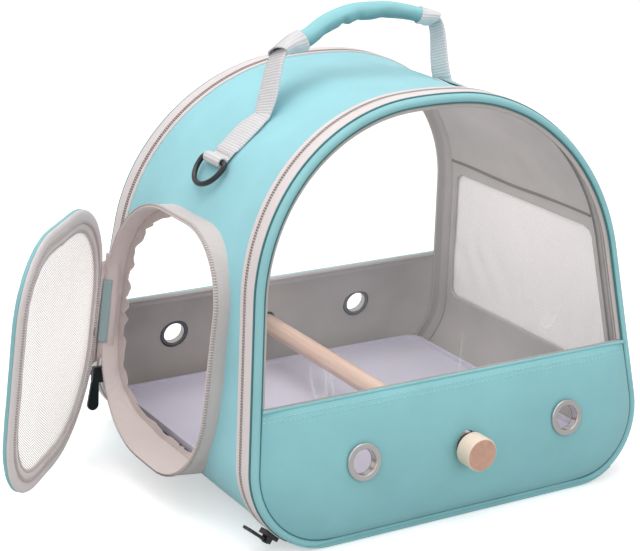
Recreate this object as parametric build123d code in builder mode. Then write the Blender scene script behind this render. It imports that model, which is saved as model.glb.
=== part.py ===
from build123d import *
from math import atan, atan2, cos, degrees, radians, sin, sqrt, tan
import os

# Arched soft-sided bird carrier: two leaning clear-window panels, a wrapped body, a side door, a floor
# tray, a wooden perch, a padded handle, strap rings and zip fasteners.
# Millimetres. X is right, the front faces -Y, Z is up, and the origin is the middle of the underside.

os.makedirs("parts", exist_ok=True)

# ---------------------------------------------------------------- driving dimensions
WIDTH = 320.0            # across the lower corners
HEIGHT = 288.0           # floor to crown
BASE_DEPTH = 277.0       # front panel to rear panel, at the floor
PANEL_LEAN = 9.5         # degrees that the front and rear panels lean towards each other
WALL_LEAN = 6.2          # degrees that the side walls lean in, measured in the panel's plane
CORNER_R = 55.0          # lower corners of the arch
SHOULDER_R = 136.0       # shoulders of the arch
CROWN_R = 329.0          # flatter top of the arch

SHELL = 2.4              # padded outer cloth
LINING = 0.8             # grey inner cloth
FLOOR = 3.4              # board-stiffened base cloth
WELT = 6.0               # width of the rounded welt round each panel
WELT_DEPTH = 4.0
SEAM_HEIGHT = 12.0       # floor to the lower seam of each panel
STRIP_TOP = 9.0          # where the base strip ends and the zip tapes start

PANEL_TAPE = (4.0, 14.0)     # zip parts, as distances behind the panel's face
PANEL_COIL = (14.0, 15.3)
BODY_COIL = (15.6, 17.0)
BODY_TAPE = (17.0, 21.5)
TAPE = 1.8               # zip tape thickness, with its backing
COIL_PROUD = 0.8

HEM_HEIGHT = 100.4       # up the panel to the top of its lower cloth
BULGE = 15.0             # how far the lower cloth stands out
BULGE_TAPER = 50.0       # degrees
FLANGE = 2.0             # seam allowance behind the lower cloth
FILM = 0.8               # clear window film

EYELET_X = 84.0
EYELET_UP = 58.0
EYELET_R = 13.0
EYELET_BORE_R = 8.75
EYELET_TUBE_R = 9.4
EYELET_LIP = 1.6
EYELET_BACK = 1.0

PERCH_Z = 54.0
DOWEL_R = 7.5
STUD_R = 2.5
STUD_HOLE_R = 6.0
CAP_R = 12.0
CAP_LENGTH = 13.3
CAP_BORE_DEPTH = 10.0
STUD_IN_CAP = 8.0
WASHER_R = 10.0
GAP = 0.3                # clearance between pieces that move past each other

OPEN_FRONT = 77.0        # side door opening, as distances along the left wall
OPEN_REAR = 90.0
OPEN_LOW = 20.0
OPEN_HIGH = 203.0
OPEN_RADII = (76.0, 64.0, 52.0, 78.0)    # rear low, front low, front high, rear high
COLLAR = 2.6
COLLAR_PROUD = 12.0
FRILL = 9.0
FRILL_CLOTH = 1.4
DOOR_OPEN = 42.5         # degrees that the door stands open
DOOR_DROP = 5.0          # the open door hangs this far down on its cloth hinge
DOOR_SPREAD = 6.0        # door stands this far past the collar at its free side
DOOR_RING = 14.0
HINGE_LOW = 70.0
HINGE_HIGH = 150.0

MESH_HALF_LOW = 102.0    # right wall window, half widths at its foot and top
MESH_HALF_HIGH = 83.0
MESH_LOW = 67.0
MESH_HIGH = 175.0
MESH = 0.6
MESH_BORDER = 6.0
MESH_BINDING = 1.2
MESH_CORNER_R = 14.0
LEFT_SEAM = 212.0        # heights of the seams between walls and roof
RIGHT_SEAM = 183.0

TRAY_HALF_X = 138.0
TRAY_HALF_Y = 130.0
TRAY_TOP = 23.0
TRAY_PLATE = 2.6
TRAY_LIP = 3.0
TRAY_CORNER_R = 12.0
BOARD_HALF_X = 111.0
BOARD_HALF_Y = 110.0
BOARD = 2.2
LINER = 2.6

STRAP_WIDTH = 25.0
STRAP = 1.8
WEB_TAPER = 38.0
WEB_TIP = 2.0            # half width left at the fold
FOLD_CLEAR = 1.5         # between the fold and the webbing above it
STRAP_Y = -5.0           # straps sit a little in front of the middle
STRAP_END_ANGLE = 39.0   # degrees round the shoulder, from level
FOLD_ANGLES = {-1: 57.5, 1: 70.0}        # where the handle's straps lift off, left and right
RING_WIRE_R = 1.9
RING_HALF = 15.5
RING_DROP = 20.0
LOOP_R = 4.2
LOOP_BORE_R = 1.98
HANDLE_LEAN = 20.0       # degrees that the handle leans back
GRIP_HALF = 63.0
GRIP_SHIFT = 14.0        # grip's middle, to the right of the middle between the folds
GRIP_END_UP = 40.0       # grip axis above the fold line, at its ends and middle
GRIP_MID_UP = 56.0
GRIP_R = 6.6
SLEEVE_LENGTH = 21.0
SLEEVE_R = 8.0

SLIDER_ANGLE = 50.0      # degrees below level, round the lower corner
SLIDER_GAP = 0.6
SLIDER_WIDE = 9.6        # across the zip
SLIDER_LONG = 12.0       # along the zip
SLIDER_HIGH = 3.6
SLIDER_CORNER_R = 1.5
DOOR_SLIDER_DROP = 15.5  # below the hinge strip
DOOR_SLIDER_SINK = 2.9   # behind the collar's rim
CHEEK_X = 3.4
CHEEK_HIGH = 3.8
BAR_R = 0.8
EYE_R = 1.9
PULL_HALF = 2.3          # half width of a pull at its bar, and at its round end
PULL_END_R = 4.4
PULL_THICK = 2.0
ZIP_PULL = 20.0
DOOR_PULL = 30.0

# ---------------------------------------------------------------- worked out from them
ALONG_Y = (0, 1, 0)
PANEL_COS = cos(radians(PANEL_LEAN))
PANEL_SIN = sin(radians(PANEL_LEAN))
PANEL_TAN = tan(radians(PANEL_LEAN))
PANEL_HEIGHT = HEIGHT / PANEL_COS
LEAN_COS = cos(radians(WALL_LEAN))
LEAN_SIN = sin(radians(WALL_LEAN))
CORNER_X = WIDTH / 2 - CORNER_R
WALL_REACH = CORNER_X * LEAN_COS + CORNER_R * LEAN_SIN + CORNER_R
# The shoulder's centre lies square off the leaning side and touches the crown's circle inside.
foot_x = LEAN_COS * (WALL_REACH - SHOULDER_R)
foot_y = LEAN_SIN * (WALL_REACH - SHOULDER_R) - (PANEL_HEIGHT - CROWN_R)
along = foot_y * LEAN_COS - foot_x * LEAN_SIN
slack = foot_x**2 + foot_y**2 - (CROWN_R - SHOULDER_R) ** 2
SHOULDER_UP = -along + sqrt(along**2 - slack)
SHOULDER_X = LEAN_COS * (WALL_REACH - SHOULDER_R) - LEAN_SIN * SHOULDER_UP
SHOULDER_Y = LEAN_SIN * (WALL_REACH - SHOULDER_R) + LEAN_COS * SHOULDER_UP
SIDE_RUN = SHOULDER_UP - (CORNER_R * LEAN_COS - CORNER_X * LEAN_SIN)
CROWN_START = degrees(atan2(SHOULDER_Y - (PANEL_HEIGHT - CROWN_R), SHOULDER_X))
WALL_TILT = degrees(atan(tan(radians(WALL_LEAN)) / PANEL_COS))
WALL_X = WALL_REACH / LEAN_COS


def panel_plane(side, back=0.0):
    """Plane of the front (side -1) or rear (side 1) panel, moved back into the carrier."""
    return Plane(
        origin=(0, side * (BASE_DEPTH / 2 - back), 0),
        x_dir=(-side, 0, 0),
        z_dir=(0, side * PANEL_COS, PANEL_SIN),
    )


def wall_plane(side):
    """Plane of the flat part of the left (side -1) or right (side 1) wall, seen from outside."""
    tilt_cos = cos(radians(WALL_TILT))
    tilt_sin = sin(radians(WALL_TILT))
    return Plane(
        origin=(side * WALL_X, 0, 0),
        x_dir=(0, side, 0),
        z_dir=(side * tilt_cos, 0, tilt_sin),
    )


LEFT = wall_plane(-1)
RIGHT = wall_plane(1)
GUSSET_FRONT = panel_plane(-1, BODY_TAPE[1])
GUSSET_REAR = panel_plane(1, BODY_TAPE[1])
SIDES = (("front", -1), ("rear", 1))


def arch(inset=0.0):
    """Arch outline, moved inwards by inset, as a face on the XY plane."""
    with BuildSketch() as face:
        with BuildLine():
            base = Line((0, inset), (CORNER_X, inset))
            corner = JernArc(base @ 1, base % 1, CORNER_R - inset, 90 + WALL_LEAN)
            side = PolarLine(corner @ 1, SIDE_RUN, direction=corner % 1)
            shoulder = JernArc(side @ 1, side % 1, SHOULDER_R - inset, CROWN_START - WALL_LEAN)
            JernArc(shoulder @ 1, shoulder % 1, CROWN_R - inset, 90 - CROWN_START)
            mirror(about=Plane.YZ)
        make_face()
    return face.sketch


def band_above(low, high=400.0):
    """Wide rectangle between two heights, for trimming arches."""
    with BuildSketch() as face:
        with Locations((0, (low + high) / 2)):
            Rectangle(2 * WIDTH, high - low)
    return face.sketch


def lower_cloth(inset=0.0):
    """Outline of a panel's lower cloth, from its lower seam to its hem."""
    with BuildSketch() as face:
        add(arch(WELT + inset))
        add(band_above(SEAM_HEIGHT + inset, HEM_HEIGHT - inset), mode=Mode.INTERSECT)
    return face.sketch


def opening(grow=0.0, spread=0.0):
    """Side opening on the left wall's plane; spread widens its front, low and high sides."""
    rear = -OPEN_REAR - grow
    front = OPEN_FRONT + grow + spread
    low = OPEN_LOW - grow - spread / 2
    high = OPEN_HIGH + grow + spread / 2
    radii = [radius + grow for radius in OPEN_RADII]
    with BuildSketch() as face:
        with BuildLine():
            FilletPolyline((rear, low), (front, low), (front, high), (rear, high), radius=radii, close=True)
        make_face()
    return face.sketch


def tunnel(outer, inner):
    """The body's wrap between the zips: the space between two insets of the arch."""
    with BuildPart() as ring:
        with BuildSketch(GUSSET_FRONT):
            add(arch(outer))
            add(arch(inner), mode=Mode.SUBTRACT)
        extrude(amount=BASE_DEPTH, dir=ALONG_Y)
        split(bisect_by=GUSSET_REAR, keep=Keep.BOTTOM)
    return ring.part


def wrap_skin(depths, prism):
    """Layer of the wrap between two depths, kept only inside a prism."""
    with BuildPart() as skin:
        add(tunnel(depths[0], depths[1]))
        add(prism, mode=Mode.INTERSECT)
    return skin.part


def through_wall(plane, outline, hole=None):
    """Prism standing on a wall's plane, with an optional hole through it."""
    with BuildPart() as prism:
        with BuildSketch(plane.offset(COLLAR_PROUD)):
            add(outline)
            if hole is not None:
                add(hole, mode=Mode.SUBTRACT)
        extrude(amount=-4 * COLLAR_PROUD)
    return prism.part


def mesh_window(grow=0.0):
    """Rounded outline of the right wall's mesh, on the wall's plane."""
    with BuildSketch() as face:
        with BuildLine() as rim:
            Polyline(
                (-MESH_HALF_LOW, MESH_LOW),
                (MESH_HALF_LOW, MESH_LOW),
                (MESH_HALF_HIGH, MESH_HIGH),
                (-MESH_HALF_HIGH, MESH_HIGH),
                close=True,
            )
            fillet(rim.vertices(), radius=MESH_CORNER_R)
        make_face()
        if grow:
            offset(amount=grow, kind=Kind.ARC)
    return face.sketch


def carrier_block():
    """The whole body as one block, for trimming what stands on it."""
    with BuildPart() as block:
        with BuildSketch(panel_plane(-1)):
            add(arch())
        extrude(amount=BASE_DEPTH, dir=ALONG_Y)
        split(bisect_by=panel_plane(1), keep=Keep.BOTTOM)
    return block.part


def slab(x_range, z_range):
    """Box across the whole depth between two X and two Z values."""
    with BuildPart() as box:
        with Locations(((x_range[0] + x_range[1]) / 2, 0, (z_range[0] + z_range[1]) / 2)):
            Box(x_range[1] - x_range[0], 2 * BASE_DEPTH, z_range[1] - z_range[0])
    return box.part


def zip_ring(side, span, outer, inner):
    """Zip part round the arch, from the base strip up and over."""
    with BuildPart() as ring:
        with BuildSketch(panel_plane(side, span[0])):
            add(arch(outer))
            add(arch(inner), mode=Mode.SUBTRACT)
            add(band_above(STRIP_TOP), mode=Mode.INTERSECT)
        extrude(amount=span[1] - span[0], dir=(0, -side, 0))
    return ring.part


def save(builder, node):
    """Label a finished piece and write its STEP file."""
    builder.part.label = node
    export_step(builder.part, f"parts/{node}.step")


# ---------------------------------------------------------------- body: base, walls and roof
with BuildPart() as base_panel:
    add(tunnel(0, FLOOR))
    add(slab((-CORNER_X, CORNER_X), (-1, FLOOR)), mode=Mode.INTERSECT)
save(base_panel, "base_panel")

with BuildPart() as left_wall:
    add(tunnel(0, SHELL))
    add(slab((-WIDTH, -CORNER_X), (-1, LEFT_SEAM)), mode=Mode.INTERSECT)
    add(through_wall(LEFT, opening(-COLLAR)), mode=Mode.SUBTRACT)
save(left_wall, "left_wall")

with BuildPart() as right_wall:
    add(tunnel(0, SHELL))
    add(slab((CORNER_X, WIDTH), (-1, RIGHT_SEAM)), mode=Mode.INTERSECT)
    add(through_wall(RIGHT, mesh_window()), mode=Mode.SUBTRACT)
save(right_wall, "right_wall")

with BuildPart() as roof_panel:
    add(tunnel(0, SHELL))
    add(slab((-WIDTH, 0), (-1, LEFT_SEAM)), mode=Mode.SUBTRACT)
    add(slab((0, WIDTH), (-1, RIGHT_SEAM)), mode=Mode.SUBTRACT)
save(roof_panel, "roof_panel")

with BuildPart() as lining:
    add(tunnel(SHELL, SHELL + LINING))
    add(slab((-CORNER_X, CORNER_X), (-1, 3 * FLOOR)), mode=Mode.SUBTRACT)
    add(through_wall(LEFT, opening(-COLLAR)), mode=Mode.SUBTRACT)
    add(through_wall(RIGHT, mesh_window()), mode=Mode.SUBTRACT)
save(lining, "lining")

with BuildPart() as right_mesh:
    add(wrap_skin((SHELL / 2, SHELL / 2 + MESH), through_wall(RIGHT, mesh_window())))
save(right_mesh, "right_mesh")

with BuildPart() as right_mesh_border:
    border = through_wall(RIGHT, mesh_window(3.0), mesh_window(-MESH_BORDER))
    add(wrap_skin((SHELL + LINING, SHELL + LINING + MESH_BINDING), border))
save(right_mesh_border, "right_mesh_border")

# ---------------------------------------------------------------- body: side opening
with BuildPart() as door_collar:
    add(through_wall(LEFT, opening(), opening(-COLLAR)))
    add(carrier_block(), mode=Mode.SUBTRACT)
save(door_collar, "door_collar")

with BuildPart() as collar_coil:
    with BuildSketch(LEFT.offset(COLLAR_PROUD - 3)):
        add(opening(1.2))
        add(opening(), mode=Mode.SUBTRACT)
        with Locations((-OPEN_REAR, (HINGE_LOW + HINGE_HIGH) / 2)):
            Rectangle(16, HINGE_HIGH - HINGE_LOW + 8, mode=Mode.SUBTRACT)
    extrude(amount=2.6)
save(collar_coil, "collar_coil")

with BuildPart() as collar_frill:
    frill = through_wall(LEFT, opening(-COLLAR), opening(-COLLAR - FRILL))
    add(wrap_skin((SHELL, SHELL + FRILL_CLOTH), frill))
save(collar_frill, "collar_frill")

HINGE_X = -OPEN_REAR - 1.5
with BuildPart() as collar_hinge_strip:
    with BuildSketch(LEFT.offset(2.5)):
        with Locations((-OPEN_REAR - 0.6, (HINGE_LOW + HINGE_HIGH) / 2)):
            Rectangle(1.2, HINGE_HIGH - HINGE_LOW)
    extrude(amount=COLLAR_PROUD - 3)
save(collar_hinge_strip, "collar_hinge_strip")

# ---------------------------------------------------------------- door, standing open
# The cloth hinge lets the door hang plumb, so it turns about an upright line through the hinge's middle.
UPRIGHT = Axis((0, 0, 0), (0, 0, 1))
hinge_face = LEFT.offset(COLLAR_PROUD + 0.7)
hinge_middle = hinge_face.from_local_coords((HINGE_X, (HINGE_LOW + HINGE_HIGH) / 2, 0))
hinge_foot = hinge_face.from_local_coords((HINGE_X, 0, 0))
DOOR = Plane(
    origin=hinge_middle + (hinge_foot - hinge_middle).rotate(UPRIGHT, -DOOR_OPEN) - Vector(0, 0, DOOR_DROP),
    x_dir=LEFT.x_dir.rotate(UPRIGHT, -DOOR_OPEN),
    z_dir=LEFT.z_dir.rotate(UPRIGHT, -DOOR_OPEN),
)


def door_outline(inset=0.0):
    """Outline of the door, measured from its hinge line."""
    with BuildSketch() as face:
        with Locations((-HINGE_X, 0)):
            add(opening(1.0 - inset, DOOR_SPREAD))
    return face.sketch


def door_ring(span, outer, inner):
    """Flat ring of the door between two insets, over a span of depths."""
    with BuildPart() as ring:
        with BuildSketch(DOOR.offset(span[0])):
            add(door_outline(outer))
            add(door_outline(inner), mode=Mode.SUBTRACT)
        extrude(amount=span[1] - span[0])
    return ring.part


with BuildPart() as door_tape:
    add(door_ring((1.5, 3.5), 0, DOOR_RING))
save(door_tape, "door_tape")

with BuildPart() as door_coil:
    add(door_ring((0.5, 1.5), 8.0, 9.6))
save(door_coil, "door_coil")

with BuildPart() as door_edge:
    add(door_ring((3.5, 6.5), 0, DOOR_RING))
save(door_edge, "door_edge")

with BuildPart() as door_binding:
    add(door_ring((1.2, 5.0), DOOR_RING, DOOR_RING + 3.0))
save(door_binding, "door_binding")

with BuildPart() as door_mesh:
    with BuildSketch(DOOR.offset(2.6)):
        add(door_outline(DOOR_RING + 3.0))
    extrude(amount=MESH)
save(door_mesh, "door_mesh")

with BuildPart() as door_hinge_tab:
    with BuildSketch(DOOR.offset(6.5)):
        with Locations((5.8, (HINGE_LOW + HINGE_HIGH) / 2)):
            Rectangle(10, HINGE_HIGH - HINGE_LOW - 4)
    extrude(amount=1.2)
save(door_hinge_tab, "door_hinge_tab")

# ---------------------------------------------------------------- front and rear panels with their zips
for name, side in SIDES:
    face = panel_plane(side)
    inwards = (0, -side, 0)

    with BuildPart() as hinge_strip:
        with BuildSketch(panel_plane(side, 0.4)):
            add(arch())
            add(arch(FLOOR), mode=Mode.SUBTRACT)
            add(band_above(-1, STRIP_TOP - 0.3), mode=Mode.INTERSECT)
        extrude(amount=BODY_TAPE[1] - 0.4, dir=inwards)
    save(hinge_strip, f"{name}_hinge_strip")

    with BuildPart() as body_tape:
        add(zip_ring(side, BODY_TAPE, 0, TAPE))
    save(body_tape, f"{name}_body_tape")

    with BuildPart() as body_coil:
        add(zip_ring(side, BODY_COIL, -COIL_PROUD, TAPE))
    save(body_coil, f"{name}_body_coil")

    with BuildPart() as panel_coil:
        add(zip_ring(side, PANEL_COIL, -COIL_PROUD, TAPE))
    save(panel_coil, f"{name}_panel_coil")

    with BuildPart() as panel_tape:
        add(zip_ring(side, PANEL_TAPE, 0, TAPE))
    save(panel_tape, f"{name}_panel_tape")

    with BuildPart() as welt:
        with BuildSketch(face):
            add(arch())
            add(band_above(FLOOR + 0.4), mode=Mode.INTERSECT)
            with BuildSketch(mode=Mode.SUBTRACT):
                add(arch(WELT))
                add(band_above(SEAM_HEIGHT), mode=Mode.INTERSECT)
            with BuildSketch(mode=Mode.SUBTRACT):
                add(arch())
                add(arch(FLOOR + 0.4), mode=Mode.SUBTRACT)
                add(band_above(-1, STRIP_TOP), mode=Mode.INTERSECT)
        extrude(amount=WELT_DEPTH, dir=inwards)
    save(welt, f"{name}_welt")

    with BuildPart() as window:
        with BuildSketch(panel_plane(side, FLANGE)):
            add(arch(WELT))
            add(band_above(HEM_HEIGHT - 7), mode=Mode.INTERSECT)
        extrude(amount=FILM, dir=inwards)
    save(window, f"{name}_window")

    eyelet_points = [(x, EYELET_UP) for x in (-EYELET_X, EYELET_X)]
    perch_up = PERCH_Z / PANEL_COS
    stud_axis = Plane(origin=(0, 0, PERCH_Z), x_dir=(-side, 0, 0), z_dir=(0, side, 0))

    with BuildPart() as lower_panel:
        with BuildSketch(face):
            add(lower_cloth())
        extrude(amount=BULGE, taper=BULGE_TAPER)
        with BuildSketch(face):
            add(lower_cloth())
        extrude(amount=-FLANGE * PANEL_COS)
        with BuildSketch(face):
            add(lower_cloth(SHELL))
        extrude(amount=BULGE - SHELL, taper=BULGE_TAPER, mode=Mode.SUBTRACT)
        with BuildSketch(face):
            add(lower_cloth(SHELL))
        extrude(amount=-2 * FLANGE, mode=Mode.SUBTRACT)
        with BuildSketch(face):
            with Locations(*eyelet_points):
                Circle(EYELET_TUBE_R)
        extrude(amount=2 * BULGE, mode=Mode.SUBTRACT)
        with BuildSketch(stud_axis):
            Circle(STUD_HOLE_R)
        extrude(amount=BASE_DEPTH, mode=Mode.SUBTRACT)
    save(lower_panel, f"{name}_lower_panel")

    with BuildPart() as lower_lining:
        with BuildSketch(face):
            add(lower_cloth(SHELL))
        extrude(amount=BULGE - SHELL, taper=BULGE_TAPER)
        with BuildSketch(face):
            add(lower_cloth(SHELL + LINING))
        extrude(amount=BULGE - SHELL - LINING, taper=BULGE_TAPER, mode=Mode.SUBTRACT)
        with BuildSketch(face):
            with Locations(*eyelet_points):
                Circle(EYELET_TUBE_R)
        extrude(amount=2 * BULGE, mode=Mode.SUBTRACT)
        with BuildSketch(stud_axis):
            Circle(STUD_HOLE_R)
        extrude(amount=BASE_DEPTH, mode=Mode.SUBTRACT)
    save(lower_lining, f"{name}_lower_lining")

    inner_face = BULGE - SHELL - LINING
    with BuildPart() as eyelets:
        with BuildSketch(face.offset(inner_face - EYELET_BACK)):
            with Locations(*eyelet_points):
                Circle(EYELET_R - 0.8)
        extrude(amount=EYELET_BACK)
        with BuildSketch(face.offset(inner_face)):
            with Locations(*eyelet_points):
                Circle(EYELET_TUBE_R)
        extrude(amount=SHELL + LINING)
        with BuildSketch(face.offset(BULGE)):
            with Locations(*eyelet_points):
                Circle(EYELET_R)
        extrude(amount=EYELET_LIP)
        with BuildSketch(face):
            with Locations(*eyelet_points):
                Circle(EYELET_BORE_R)
        extrude(amount=2 * BULGE, mode=Mode.SUBTRACT)
        outer_rims = eyelets.edges().filter_by(GeomType.CIRCLE).filter_by(
            lambda edge: abs(face.to_local_coords(edge.center()).Z - BULGE - EYELET_LIP) < 0.01
        )
        fillet(outer_rims, radius=0.7)
    save(eyelets, f"{name}_eyelets")

    # Tapered washer: its back follows the leaning cloth and its front is square to the perch.
    washer_face = BASE_DEPTH / 2 - (PERCH_Z - WASHER_R) * PANEL_TAN + BULGE / PANEL_COS + 1.2
    with BuildPart() as washer:
        with BuildSketch(stud_axis.offset(washer_face)):
            Circle(WASHER_R)
            Circle(STUD_HOLE_R, mode=Mode.SUBTRACT)
        extrude(amount=-2 * BULGE)
        split(bisect_by=face.offset(BULGE), keep=Keep.TOP)
    save(washer, f"{name}_perch_washer")

    cap_back = washer_face + GAP
    with BuildPart() as cap:
        with BuildSketch(stud_axis.offset(cap_back)):
            Circle(CAP_R)
        extrude(amount=CAP_LENGTH)
        fillet(cap.faces().sort_by(Axis.Y)[-1 if side > 0 else 0].edges(), radius=1.4)
        with BuildSketch(stud_axis.offset(cap_back)):
            Circle(STUD_HOLE_R)
        extrude(amount=CAP_BORE_DEPTH, mode=Mode.SUBTRACT)
    save(cap, f"{name}_perch_cap")

# ---------------------------------------------------------------- inside: floor, tray and perch
with BuildPart() as base_board:
    with BuildSketch(Plane.XY.offset(FLOOR)):
        RectangleRounded(2 * BOARD_HALF_X - 4, 2 * BOARD_HALF_Y, 6)
    extrude(amount=BOARD)
save(base_board, "base_board")

with BuildPart() as floor_liner:
    with BuildSketch(Plane.XY.offset(FLOOR + BOARD)):
        RectangleRounded(2 * BOARD_HALF_X, 2 * BOARD_HALF_Y, 8)
    extrude(amount=LINER)
save(floor_liner, "floor_liner")

TRAY_UNDER = TRAY_TOP - TRAY_PLATE
with BuildPart() as tray:
    with BuildSketch(Plane.XY.offset(TRAY_UNDER)):
        RectangleRounded(2 * TRAY_HALF_X, 2 * TRAY_HALF_Y, TRAY_CORNER_R)
    extrude(amount=TRAY_PLATE)
    with BuildSketch(Plane.XY.offset(TRAY_TOP)):
        RectangleRounded(2 * TRAY_HALF_X, 2 * TRAY_HALF_Y, TRAY_CORNER_R)
        RectangleRounded(2 * TRAY_HALF_X - 7, 2 * TRAY_HALF_Y - 7, TRAY_CORNER_R - 3.5, mode=Mode.SUBTRACT)
    extrude(amount=TRAY_LIP)
save(tray, "tray")

with BuildPart() as tray_runners:
    with BuildSketch(Plane.XY.offset(FLOOR + BOARD + LINER)):
        with Locations((-80, 0), (80, 0)):
            RectangleRounded(9, 180, 3)
    extrude(amount=TRAY_UNDER - FLOOR - BOARD - LINER)
save(tray_runners, "tray_runners")

lining_y = BASE_DEPTH / 2 - (PERCH_Z + DOWEL_R) * PANEL_TAN + inner_face / PANEL_COS
DOWEL_HALF = lining_y - GAP
with BuildPart() as perch_dowel:
    with BuildSketch(Plane(origin=(0, 0, PERCH_Z), z_dir=ALONG_Y)):
        Circle(DOWEL_R)
    extrude(amount=DOWEL_HALF, both=True)
save(perch_dowel, "perch_dowel")

with BuildPart() as perch_studs:
    for side in (-1, 1):
        with BuildSketch(Plane(origin=(0, side * DOWEL_HALF, PERCH_Z), z_dir=(0, side, 0))):
            Circle(STUD_R)
        extrude(amount=cap_back + STUD_IN_CAP - DOWEL_HALF)
save(perch_studs, "perch_studs")

# ---------------------------------------------------------------- straps, rings and handle


def shoulder_point(side, angle, proud=0.0):
    """Point on the shoulder's outer surface at STRAP_Y, at an angle round from level."""
    reach = SHOULDER_R + proud
    return Vector(
        side * (SHOULDER_X + reach * cos(radians(angle))),
        STRAP_Y,
        (SHOULDER_Y + reach * sin(radians(angle))) * PANEL_COS,
    )


def strap_wrap(side):
    """Strap lying on the shoulder between its ring loop and its fold."""
    with BuildPart() as wrap:
        with BuildSketch(panel_plane(-1)):
            with BuildSketch(mode=Mode.ADD):
                add(arch(-STRAP))
                add(arch(), mode=Mode.SUBTRACT)
        extrude(amount=BASE_DEPTH, dir=ALONG_Y)
        with BuildSketch(Plane(origin=(0, STRAP_Y, 0), x_dir=(1, 0, 0), z_dir=(0, -1, 0))):
            low = shoulder_point(side, STRAP_END_ANGLE)
            high = shoulder_point(side, FOLD_ANGLES[side])
            with Locations(((low.X + high.X) / 2 + side * 20, (low.Z + high.Z) / 2)):
                Rectangle(abs(low.X - high.X) + 40, high.Z - low.Z)
        extrude(amount=STRAP_WIDTH / 2, both=True, mode=Mode.INTERSECT)
    return wrap.part


for name, side in (("left", -1), ("right", 1)):
    end = shoulder_point(side, STRAP_END_ANGLE)
    before = shoulder_point(side, STRAP_END_ANGLE + 2)
    down = (end - before).normalized()
    out = Vector(-down.Z * side, 0, down.X * side)
    loop_centre = end + down * (LOOP_R - 0.5) + out * (LOOP_R + 0.1)
    with BuildPart() as strap:
        add(strap_wrap(side))
        with BuildSketch(Plane(origin=loop_centre, z_dir=ALONG_Y)):
            Circle(LOOP_R)
        extrude(amount=RING_HALF - 4.0, both=True)
        with BuildSketch(Plane(origin=loop_centre, z_dir=ALONG_Y)):
            Circle(LOOP_BORE_R)
        extrude(amount=RING_HALF, both=True, mode=Mode.SUBTRACT)
    save(strap, f"{name}_strap")

    ring_plane = Plane(origin=loop_centre, x_dir=ALONG_Y, z_dir=out * -side)
    drop = RING_DROP if ring_plane.y_dir.Z < 0 else -RING_DROP
    with BuildPart() as ring:
        with BuildLine(ring_plane) as wire:
            bar = Line((RING_HALF, 0), (-RING_HALF, 0))
            ThreePointArc(bar @ 1, (0, drop), bar @ 0)
            fillet(wire.vertices(), radius=3.2)
        straight = wire.edges().filter_by(GeomType.LINE)[0]
        with BuildSketch(Plane(origin=straight @ 0.5, z_dir=straight % 0.5)):
            Circle(RING_WIRE_R)
        sweep(path=wire.wires()[0])
    save(ring, f"{name}_d_ring")

left_fold = shoulder_point(-1, FOLD_ANGLES[-1], STRAP)
right_fold = shoulder_point(1, FOLD_ANGLES[1], STRAP)
FOLD_HALF = (right_fold - left_fold).length / 2
fold_way = (right_fold - left_fold).normalized()
lean = radians(HANDLE_LEAN)
handle_plane = Plane(
    origin=(left_fold + right_fold) / 2,
    x_dir=fold_way,
    z_dir=Vector(-fold_way.Z * sin(lean), -cos(lean), fold_way.X * sin(lean)),
)


def grip_path(reach):
    """Arc of the grip's axis between plus and minus reach along it."""
    rise = GRIP_MID_UP - GRIP_END_UP
    radius = (GRIP_HALF**2 + rise**2) / (2 * rise)
    up = GRIP_MID_UP - radius + sqrt(radius**2 - reach**2)
    with BuildLine(handle_plane) as path:
        ThreePointArc((GRIP_SHIFT - reach, up), (GRIP_SHIFT, GRIP_MID_UP), (GRIP_SHIFT + reach, up))
    return path.line


with BuildPart() as handle_grip:
    axis = grip_path(GRIP_HALF)
    with BuildSketch(Plane(origin=axis @ 0, z_dir=axis % 0)):
        Circle(GRIP_R)
    sweep(path=axis)
save(handle_grip, "handle_grip")

with BuildPart() as handle_sleeves:
    axis = grip_path(GRIP_HALF)
    with BuildSketch(Plane(origin=axis @ 0, z_dir=axis % 0)):
        Circle(SLEEVE_R)
        Circle(GRIP_R, mode=Mode.SUBTRACT)
    sweep(path=axis)
    with BuildSketch(handle_plane):
        with Locations((GRIP_SHIFT, 0)):
            Rectangle(2 * (GRIP_HALF - SLEEVE_LENGTH), 4 * GRIP_HALF)
    extrude(amount=3 * SLEEVE_R, both=True, mode=Mode.SUBTRACT)
save(handle_sleeves, "handle_sleeves")

with BuildPart() as handle_webbing:
    end_in = GRIP_HALF + 0.5
    for side in (-1, 1):
        fold_x = side * FOLD_HALF
        grip_x = GRIP_SHIFT + side * end_in
        with BuildSketch(handle_plane):
            with BuildLine():
                Polyline(
                    (fold_x, FOLD_CLEAR),
                    (fold_x + side * STRAP, FOLD_CLEAR),
                    (grip_x + side * STRAP, GRIP_END_UP),
                    (grip_x, GRIP_END_UP),
                    close=True,
                )
            make_face()
        extrude(amount=STRAP_WIDTH / 2, both=True)
    # The lower ends taper to the fold, so that the strap can turn on it.
    with BuildSketch(Plane(origin=handle_plane.origin, x_dir=handle_plane.z_dir, z_dir=fold_way * -1)):
        with BuildLine():
            left_edge = Polyline((-WEB_TIP, 0), (-STRAP_WIDTH / 2, WEB_TAPER), (-STRAP_WIDTH / 2, 3 * WEB_TAPER))
            right_edge = Polyline((WEB_TIP, 0), (STRAP_WIDTH / 2, WEB_TAPER), (STRAP_WIDTH / 2, 3 * WEB_TAPER))
            Line(left_edge @ 0, right_edge @ 0)
            Line(left_edge @ 1, right_edge @ 1)
        make_face()
    extrude(amount=WIDTH, both=True, mode=Mode.INTERSECT)
save(handle_webbing, "handle_webbing")

# ---------------------------------------------------------------- zip sliders and pulls


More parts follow.
